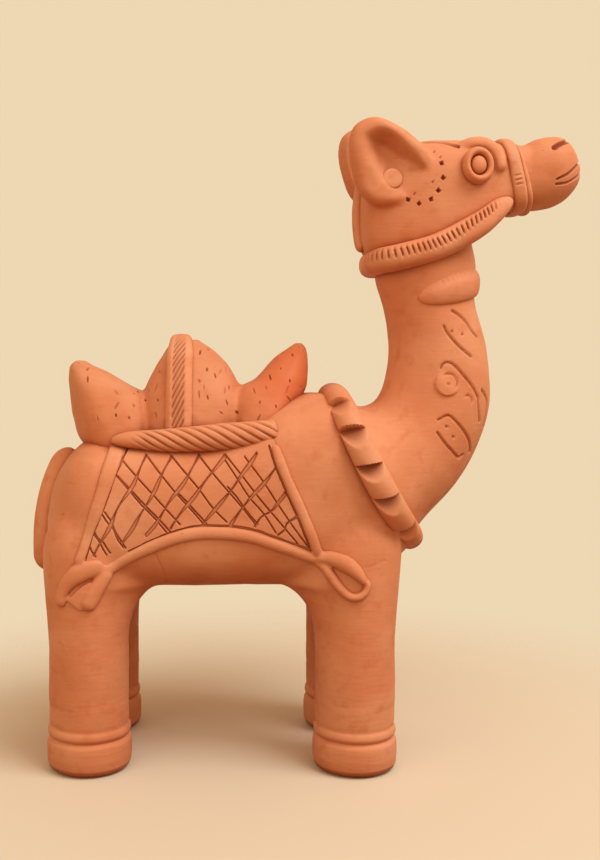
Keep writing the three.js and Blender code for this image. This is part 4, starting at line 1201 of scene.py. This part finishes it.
from_top = np.abs(np.arange(len(path)) - len(path) / 2) / len(path)
strap_width = STRAP_WIDTH - 1.8 * (1 - smoothstep(from_top, 0, 0.14))
strap = swept(path, out, strap_width, 2.9, 1.6, 72, 2.1, (2, 2), marks=strap_cuts)
finish("hump_strap", strap)

# %% Ropes
ROPE_STRANDS = 8
ROPE_SHIFT = 40
ROPE_ROUTE = np.array([
    (-74.5, 28.4, 128.4), (-66, 29, 128.7), (-52.5, 29.8, 128.5), (-31, 30.2, 129.9), (-10.6, 29.9, 131.8),
])
ROPE_RADII = ([-74, -66, -52, -31, -11], [2.8, 3.3, 4.5, 5.2, 4.7])


def rope_twist(run, turn):
    """Grooves that run down toward the front on either side."""
    gap = beat(run + ROPE_SHIFT * turn / (2 * np.pi), ROPE_SHIFT / ROPE_STRANDS)
    return (groove(gap, 1.8, 0.8) - 0.15) * smoothstep(run, 6, 16)


for name, side in SIDES.items():
    path = evenly(line_through(ROPE_ROUTE * [1, side, 1], 80), 0.3)
    out = np.broadcast_to([0.0, side * 0.8, 0.6], path.shape)
    radius = np.interp(path[:, 0], *ROPE_RADII)
    rope = swept(path, out, 2 * radius, radius, radius, 64, 2, (8, 3), marks=rope_twist)
    finish(f"rope_roll_{name}", rope)

# %% [markdown]
# ## The saddle cloth
#
# The cloth is a thin sheet of clay on the flank, cut with a lattice: broad cuts one way, thin and often
# doubled cuts the other way. It is a grid that is dropped onto the body from the side. Its border is
# hidden by the strips along its edges, the rope above and the hem below.

# %% Lattice
HEM_LINE = [
    (-84, 80.5), (-75, 80.6), (-67.5, 84.9), (-55, 90.6), (-44, 94), (-33, 94.5), (-22, 93.2), (-13.6, 90.4),
    (-2.5, 86.3), (4.4, 83.6),
]
BROAD_CUTS = [
    ((-60.9, 122.5), (-79.9, 86)), ((-51.9, 122), (-68.9, 91.5)), ((-41.2, 122.5), (-60.6, 93.8)),
    ((-31.8, 122.4), (-51.7, 96.6)), ((-19, 124.2), (-39.2, 97.8)), ((-11, 121), (-29.2, 98)),
    ((-8.9, 108.7), (-19.9, 97)), ((-4.6, 101), (-11.6, 94)), ((-70, 122), (-81.5, 95)),
]
HEM_GAP = np.array(HEM_LINE[2:]) + [0.6, 2.8]
REAR_GAP = [(-68, 125), (-72.4, 115), (-75.2, 107), (-79.6, 96), (-84, 86)]
FRONT_GAP = [(-14.4, 126.6), (-11.4, 117.6), (-4.6, 102), (-0.8, 93), (2.4, 85.6)]
THIN_CUTS = [
    ((-69.6, 120.8), (-48, 98)), ((-72.2, 115.9), (-52.7, 94.7)), ((-77.2, 102.2), (-69.4, 88.7)),
    ((-80.9, 94.8), (-75, 86.3)), ((-82.7, 90.2), (-79.5, 85.6)), ((-60.4, 122), (-38.3, 97)),
    ((-51.5, 122.9), (-30.4, 98.4)), ((-40.3, 122), (-19.9, 98)), ((-32, 122.4), (-12, 94.7)),
    ((-31.1, 123.7), (-4.1, 90.4)), ((-23.6, 122.8), (1.5, 87.6)),
    ((-70.9, 115.4), (-51.4, 94.7)), ((-76, 102), (-68.3, 89)), ((-79.8, 94.8), (-74, 87)),
    ((-48, 109), (-37, 96.8)), ((-30, 111.5), (-18.8, 97.6)),
]


def cloth_cuts(flat, side):
    """Depth of the lattice at flat places on the flank, and of the gaps beside the strip and the hem."""
    depth = np.zeros(len(flat))
    hand = np.random.default_rng(5 + side)
    for top, foot in BROAD_CUTS:
        points = np.linspace(top, foot, 5) + hand.normal(0, 0.3, (5, 2))
        gap = line_distance(flat, line_through(points, 30))
        right = flat[:, 0] > np.interp(flat[:, 1], points[::-1, 1], points[::-1, 0])
        press = 0.8 + 0.45 * np.sin(flat[:, 1] / 2.4 + hand.uniform(0, 6))
        slope = gap / np.where(right, 1.1 * press, 0.4)
        depth = np.maximum(depth, (0.5 + 0.7 * press) * np.clip(1 - slope ** 2, 0, 1))
    for top, foot in THIN_CUTS:
        points = np.linspace(top, foot, 5) + hand.normal(0, 0.2, (5, 2))
        cut = stroke(flat, points, 30, 0.75, 0.75, 0.3)
        depth = np.where(np.abs(cut) > np.abs(depth), cut, depth)
    for line, width in ((HEM_GAP, 1.1), (FRONT_GAP, 0.9), (REAR_GAP, 0.8)):
        depth = np.maximum(depth, stroke(flat, line, 60, width, 1.1))
    return depth


# %% Cloth
CLOTH_LIFT = 0.9
CLOTH_THICK = 3
CLOTH_COLUMNS = 340
CLOTH_LINES = 160
CLOTH_TOP = [(-70.5, 127), (-12.5, 129)]
FAR_OUT = 80


def pushed(flat, side, soften=0):
    """Places on the body, and its normals, where flat places are pushed against the flank."""
    starts = np.column_stack([flat[:, 0], np.full(len(flat), side * FAR_OUT), flat[:, 1]])
    return laid(body_tree, starts, (0.0, -side, 0.0), soften)


for name, side in SIDES.items():
    foot = evenly(line_through(HEM_LINE, 200), 0.1)
    foot = foot[np.linspace(0, len(foot) - 1, CLOTH_COLUMNS).astype(int)]
    top = np.linspace(*CLOTH_TOP, CLOTH_COLUMNS)
    share = np.linspace(0, 1, CLOTH_LINES)[:, None, None]
    flat = (top * (1 - share) + foot * share).reshape(-1, 2)
    bed, normals = pushed(flat, side)
    cut = cloth_cuts(flat, side)
    sheet = bed + normals * (CLOTH_LIFT - cut)[:, None]
    cloth = grid(sheet.reshape(CLOTH_LINES, CLOTH_COLUMNS, 3), np.maximum(cut, 0))
    bmesh.ops.translate(cloth, verts=skirt(cloth), vec=(0, -side * CLOTH_THICK, 0))
    close(cloth)
    finish(f"saddle_cloth_{name}", cloth)

# %% [markdown]
# ## Strips, hem and ribbons
#
# Strips frame the cloth, a coil makes its hem, and where they meet the ends are drawn out into ribbon
# loops. The potter works these knots together with a wet finger, so they are luted like the big forms.

# %% Strips, hem and ribbons
FLANK_COILS = {
    "cloth_rear_edge": (
        [(-71.5, 126.5), (-74.4, 117), (-77.6, 107.2), (-81.8, 95), (-86.2, 82)],
        [6.4, 5.8, 4.8, 4, 3.6], 1.6, (3, 3), 3.6,
    ),
    "cloth_front_edge": (
        [(-12.6, 127.5), (-9.2, 117.8), (-2.4, 102.5), (1.4, 93.5), (4.6, 85)],
        [3.4, 3.8, 4, 4, 3.8], 1.9, (3, 3), 2.6,
    ),
    "hem_coil": (
        [(-79.5, 81.4), *HEM_LINE[1:]], [4.6, 4.8, 5, 5.2, 5.2, 5.2, 5, 4.8, 4.6, 4.4], 1.9, (3, 3), 2.1,
    ),
    "rear_ribbon": (
        [(-76, 81.6), (-81, 81), (-86, 79.2), (-90.4, 75), (-92.6, 70), (-92.6, 65.8)],
        [6, 7, 7.4, 6.2, 5, 4.4], 2.3, (3, 3), 2.3,
    ),
    "rear_ribbon lower": (
        [(-74.5, 81), (-77, 77), (-80, 72), (-83.6, 65.2)], [5, 5.8, 6.6, 6], 2.3, (3, 3), 2.3,
    ),
    "rear_ribbon web": ([(-80, 76.4), (-84, 72), (-88, 66.2)], [2, 5.5, 8.5], 0.9, (3, 1.5), 2.6),
    "front_ribbon": (
        [(2.6, 84.2), (8, 84.9), (13.6, 83), (18, 79.9), (22, 74.8)],
        [4.6, 5.8, 6.6, 5, 2.4], 2.6, (3, 3), 2.1,
    ),
    "front_ribbon lower": (
        [
            (2, 83.8), (4.8, 82.8), (6.9, 81), (9.2, 77.6), (11.7, 74.1), (14.6, 71.3), (17.6, 70.2),
            (20.4, 71.2), (22.2, 74), (22, 77.6),
        ],
        [4.4, 4.4, 4.2, 4, 3.8, 3.6, 3.4, 3.2, 2.8, 2.4], 2.2, (3, 3), 2,
    ),
}
KNOTS = [(-77.5, 81), (4, 84)]
FLANK_VOXEL = 0.4


def flank_coil(points, widths, height, ends, power, side):
    path, normals = pushed(evenly(line_through(points, 160), 0.4), side, 8)
    return swept(path, normals, spread(widths, len(path)), height, 1.6, 36, power, ends)


for name, side in SIDES.items():
    flank_forms = {kind: flank_coil(*coil, side) for kind, coil in FLANK_COILS.items()}
    trims = luted(flank_forms, FLANK_VOXEL, [1.6] * len(flank_forms), 14)
    uneven(trims, (0.3, 9))
    owner = trims.faces.layers.int["owner"]
    kinds = list(dict.fromkeys(kind.split()[0] for kind in flank_forms))
    numbers = [kinds.index(kind.split()[0]) for kind in flank_forms]
    for face in trims.faces:
        face[owner] = numbers[face[owner]]
    hearts, normals = pushed(np.array(KNOTS), side)
    for number, kind in enumerate(kinds):
        finish(f"{kind}_{name}", parted(trims, number, hearts))
    trims.free()

# %% [markdown]
# ## The tail
#
# The tail is a flattened coil that lies on the rump and hangs free at its tip.

# %% Tail
fall = np.radians(np.linspace(58, -52, 120))
lean = np.maximum(fall, 0)
level = np.zeros(len(fall))
high = np.where(fall > 0, CROUP_Z - RUMP_Z, RUMP_Z - BELLY_Z)
path = np.column_stack([CAP_X - RUMP_DEPTH * np.cos(lean), level, RUMP_Z + high * np.sin(fall)])
out = np.column_stack([-np.cos(lean), level, 0.6 * np.sin(lean)])
finish("tail", swept(path, out, 11, 6.4, 1.2, 40, 2.2, (8, 7)), "terracotta")

# %% [markdown]
# ## Clay
#
# Terracotta is fired, unglazed, iron-rich clay. It is matte, but a sponged surface keeps a faint sheen.

# %% Clay
def linear(colour):
    """Linear RGBA of an sRGB hex value."""
    parts = [int(colour[place:place + 2], 16) / 255 for place in (1, 3, 5)]
    return [*(p / 12.92 if p < 0.04045 else ((p + 0.055) / 1.055) ** 2.4 for p in parts), 1]


def add_node(material, kind, links=None, values=None, **settings):
    """Node with its settings, its input values and its links from other sockets."""
    node = material.node_tree.nodes.new(kind)
    for name, value in settings.items():
        setattr(node, name, value)
    for socket, value in (values or {}).items():
        node.inputs[socket].default_value = value
    for socket, source in (links or {}).items():
        material.node_tree.links.new(source, node.inputs[socket])
    return node


def mixed(material, share, first, second):
    """Colour between two, each a hex value or a socket."""
    node = add_node(material, "ShaderNodeMix", {0: share}, data_type="RGBA")
    for socket, colour in ((6, first), (7, second)):
        if isinstance(colour, str):
            node.inputs[socket].default_value = linear(colour)
        else:
            material.node_tree.links.new(colour, node.inputs[socket])
    return node.outputs[2]


def ranged(material, value, low, high, least=0, most=1):
    """Value drawn from one range onto another, softly at both ends."""
    node = add_node(
        material, "ShaderNodeMapRange", {"Value": value},
        {"From Min": low, "From Max": high, "To Min": least, "To Max": most}, interpolation_type="SMOOTHSTEP"
    )
    return node.outputs["Result"]


def cloudy(material, place, size, detail=3, stretch=None):
    """Noise with patches of that size in millimetres; stretch draws it out along an axis."""
    if stretch:
        longer = add_node(material, "ShaderNodeVectorMath", {0: place}, {1: stretch}, operation="MULTIPLY")
        place = longer.outputs[0]
    values = {"Scale": 1 / (size * MM), "Detail": detail}
    return add_node(material, "ShaderNodeTexNoise", {"Vector": place}, values).outputs["Fac"]


# %% [markdown]
# The kiln gives soft patches of paler and redder clay, wiping with a wet cloth leaves fine level streaks,
# and grit makes a fine grain and a few dark specks. Faces that look down are painted darker and redder as
# shade, hollows that ambient occlusion finds are painted darker as shade, and cuts are painted darker by
# their depth, partly as fired slip and partly as painted shade. The flame has flushed the front of the
# saddle.

# %% Terracotta
FLUSH = "#D86C3C"
SPECK = "#8E4A28"
# Painted shade: faces that look down are painted darker and redder, as if in shade.
PAINTED_UNDERSIDE_SHADE = "#B35A26"
# Painted shade: hollows that ambient occlusion finds are painted darker, where shade falls.
PAINTED_CREASE_SHADE = "#A04A1E"
# Darker clay in the cuts, by their depth: partly fired slip, partly painted shade.
SLIP_AND_CUT_SHADE = "#8A3F1C"


def terracotta(name, colour, pale, red, flush=None):
    material = bpy.data.materials.new(name)
    material.use_nodes = True
    shader = material.node_tree.nodes["Principled BSDF"]
    place = add_node(material, "ShaderNodeTexCoord").outputs["Object"]
    patches = cloudy(material, place, 24)
    blotches = cloudy(material, place, 6)
    streaks = cloudy(material, place, 9, 2, (1, 1, 7))
    grain = cloudy(material, place, 0.5, 2)
    specks = cloudy(material, place, 2.6, 1)
    cut = add_node(material, "ShaderNodeAttribute", attribute_name="cut").outputs["Fac"]
    # Ambient occlusion picks out the hollows where shade falls, for painted shade.
    crease_shade = add_node(material, "ShaderNodeAmbientOcclusion", values={"Distance": 0.007}, samples=8)
    facing = add_node(material, "ShaderNodeNewGeometry").outputs["Normal"]
    upward = add_node(material, "ShaderNodeSeparateXYZ", {0: facing}).outputs["Z"]
    layers = [
        (patches, 0.38, 0.66, 1, pale), (blotches, 0.5, 0.78, 0.55, red), (streaks, 0.5, 0.75, 0.22, pale),
    ]
    if flush:
        away = add_node(material, "ShaderNodeVectorMath", {0: place}, {1: flush}, operation="DISTANCE")
        layers.append((away.outputs["Value"], 0.03, 0.006, 0.7, FLUSH))
    layers += [
        # The layer on the downward normal is painted shade: faces that look down are painted darker.
        (specks, 0.79, 0.83, 0.45, SPECK), (upward, 0.1, -0.9, 0.5, PAINTED_UNDERSIDE_SHADE),
        # Painted shade in the hollows that ambient occlusion finds; next to it, cut darkening that is partly
        # slip and partly painted shade.
        (crease_shade.outputs["AO"], 0.85, 0.3, 0.75, PAINTED_CREASE_SHADE), (cut, 0.08, 0.9, 0.72, SLIP_AND_CUT_SHADE),
    ]
    clay = colour
    for value, low, high, most, over in layers:
        clay = mixed(material, ranged(material, value, low, high, 0, most), clay, over)
    rough = ranged(material, blotches, 0.3, 0.7, 0.58, 0.78)
    wiped = add_node(material, "ShaderNodeBump", {"Height": streaks}, {"Strength": 0.35, "Distance": 0.0003})
    gritty = add_node(
        material, "ShaderNodeBump", {"Height": grain, "Normal": wiped.outputs[0]},
        {"Strength": 0.35, "Distance": 0.0001}
    )
    for socket, source in {"Base Color": clay, "Roughness": rough, "Normal": gritty.outputs[0]}.items():
        material.node_tree.links.new(source, shader.inputs[socket])
    shader.inputs["Specular IOR Level"].default_value = 0.3
    return material


# %% Three clays
FLUSH_PLACE = (-0.006, -0.012, 0.153)
clays = {
    "terracotta": terracotta("sponged_terracotta", "#DC9066", "#E6A279", "#CD794B"),
    "terracotta_trim": terracotta("rolled_terracotta", "#DF946B", "#E8A67F", "#D17E50"),
    "terracotta_saddle": terracotta("pricked_terracotta", "#D6895E", "#DF9A72", "#CE784C", FLUSH_PLACE),
}
for piece, slot in pieces.items():
    piece.data.materials.append(clays[slot])
print("clay on", len(pieces), "pieces")

# %% [markdown]
# ## Light and floor
#
# One large soft light shines from above on the right, a weak wide one fills in from the left, and the
# room is warm and pale. The room's colour is what the camera sees behind the camel. The floor has the
# same colour and fades into it with distance, so there is no edge between them and only the soft shadow
# stays.

# %% Room
scene.view_settings.view_transform = "Standard"
ROOM = "#EED7B3"
world = bpy.data.worlds.new("studio")
scene.world = world
world.use_nodes = True
room = world.node_tree.nodes["Background"]
room.inputs["Color"].default_value = linear("#FFC898")
room.inputs["Strength"].default_value = 0.55
seen = add_node(world, "ShaderNodeBackground", values={"Color": linear(ROOM), "Strength": 1})


def in_view(owner):
    """One for rays from the camera, mirrored or passed through glass, else zero."""
    kind = add_node(owner, "ShaderNodeLightPath").outputs
    total = kind["Is Camera Ray"]
    for name in ("Is Glossy Ray", "Is Transmission Ray"):
        total = add_node(owner, "ShaderNodeMath", {0: total, 1: kind[name]}, operation="MAXIMUM").outputs[0]
    return total


sky = add_node(world, "ShaderNodeMixShader", {0: in_view(world), 1: room.outputs[0], 2: seen.outputs[0]})
world.node_tree.links.new(sky.outputs[0], world.node_tree.nodes["World Output"].inputs["Surface"])


# %% Lamps
def lamp(name, place, aim, size, watts, colour):
    light = bpy.data.lights.new(name, "AREA")
    light.size = size
    light.energy = watts
    light.color = linear(colour)[:3]
    holder = bpy.data.objects.new(name, light)
    holder.location = place
    holder.rotation_euler = (Vector(aim) - Vector(place)).to_track_quat("-Z", "Y").to_euler()
    scene.collection.objects.link(holder)


lamp("key", (0.66, -0.46, 1.15), (0, 0, 0.12), 0.8, 11.7, "#FFF9F4")
lamp("fill", (-0.4, -1.1, 0.7), (0, 0, 0.12), 1.8, 5.6, "#FFEBD6")

# %% Floor
floor_mesh = bpy.data.meshes.new("floor")
floor_bm = bmesh.new()
bmesh.ops.create_grid(floor_bm, x_segments=1, y_segments=1, size=2)
floor_bm.to_mesh(floor_mesh)
floor_bm.free()
floor = bpy.data.objects.new("floor", floor_mesh)
scene.collection.objects.link(floor)
paper = bpy.data.materials.new("studio_paper")
paper.use_nodes = True
paper_shader = paper.node_tree.nodes["Principled BSDF"]
paper_shader.inputs["Roughness"].default_value = 0.9
paper_colour = mixed(paper, in_view(paper), "#8C6440", "#E6E0CA")
paper.node_tree.links.new(paper_colour, paper_shader.inputs["Base Color"])
paper_place = add_node(paper, "ShaderNodeTexCoord").outputs["Object"]
reach = add_node(paper, "ShaderNodeVectorMath", {0: paper_place}, operation="LENGTH").outputs["Value"]
fading = add_node(
    paper, "ShaderNodeMixShader",
    {
        0: ranged(paper, reach, 0.09, 0.27), 1: paper_shader.outputs[0],
        2: add_node(paper, "ShaderNodeBsdfTransparent").outputs[0],
    }
)
paper.node_tree.links.new(fading.outputs[0], paper.node_tree.nodes["Material Output"].inputs["Surface"])
floor_mesh.materials.append(paper)
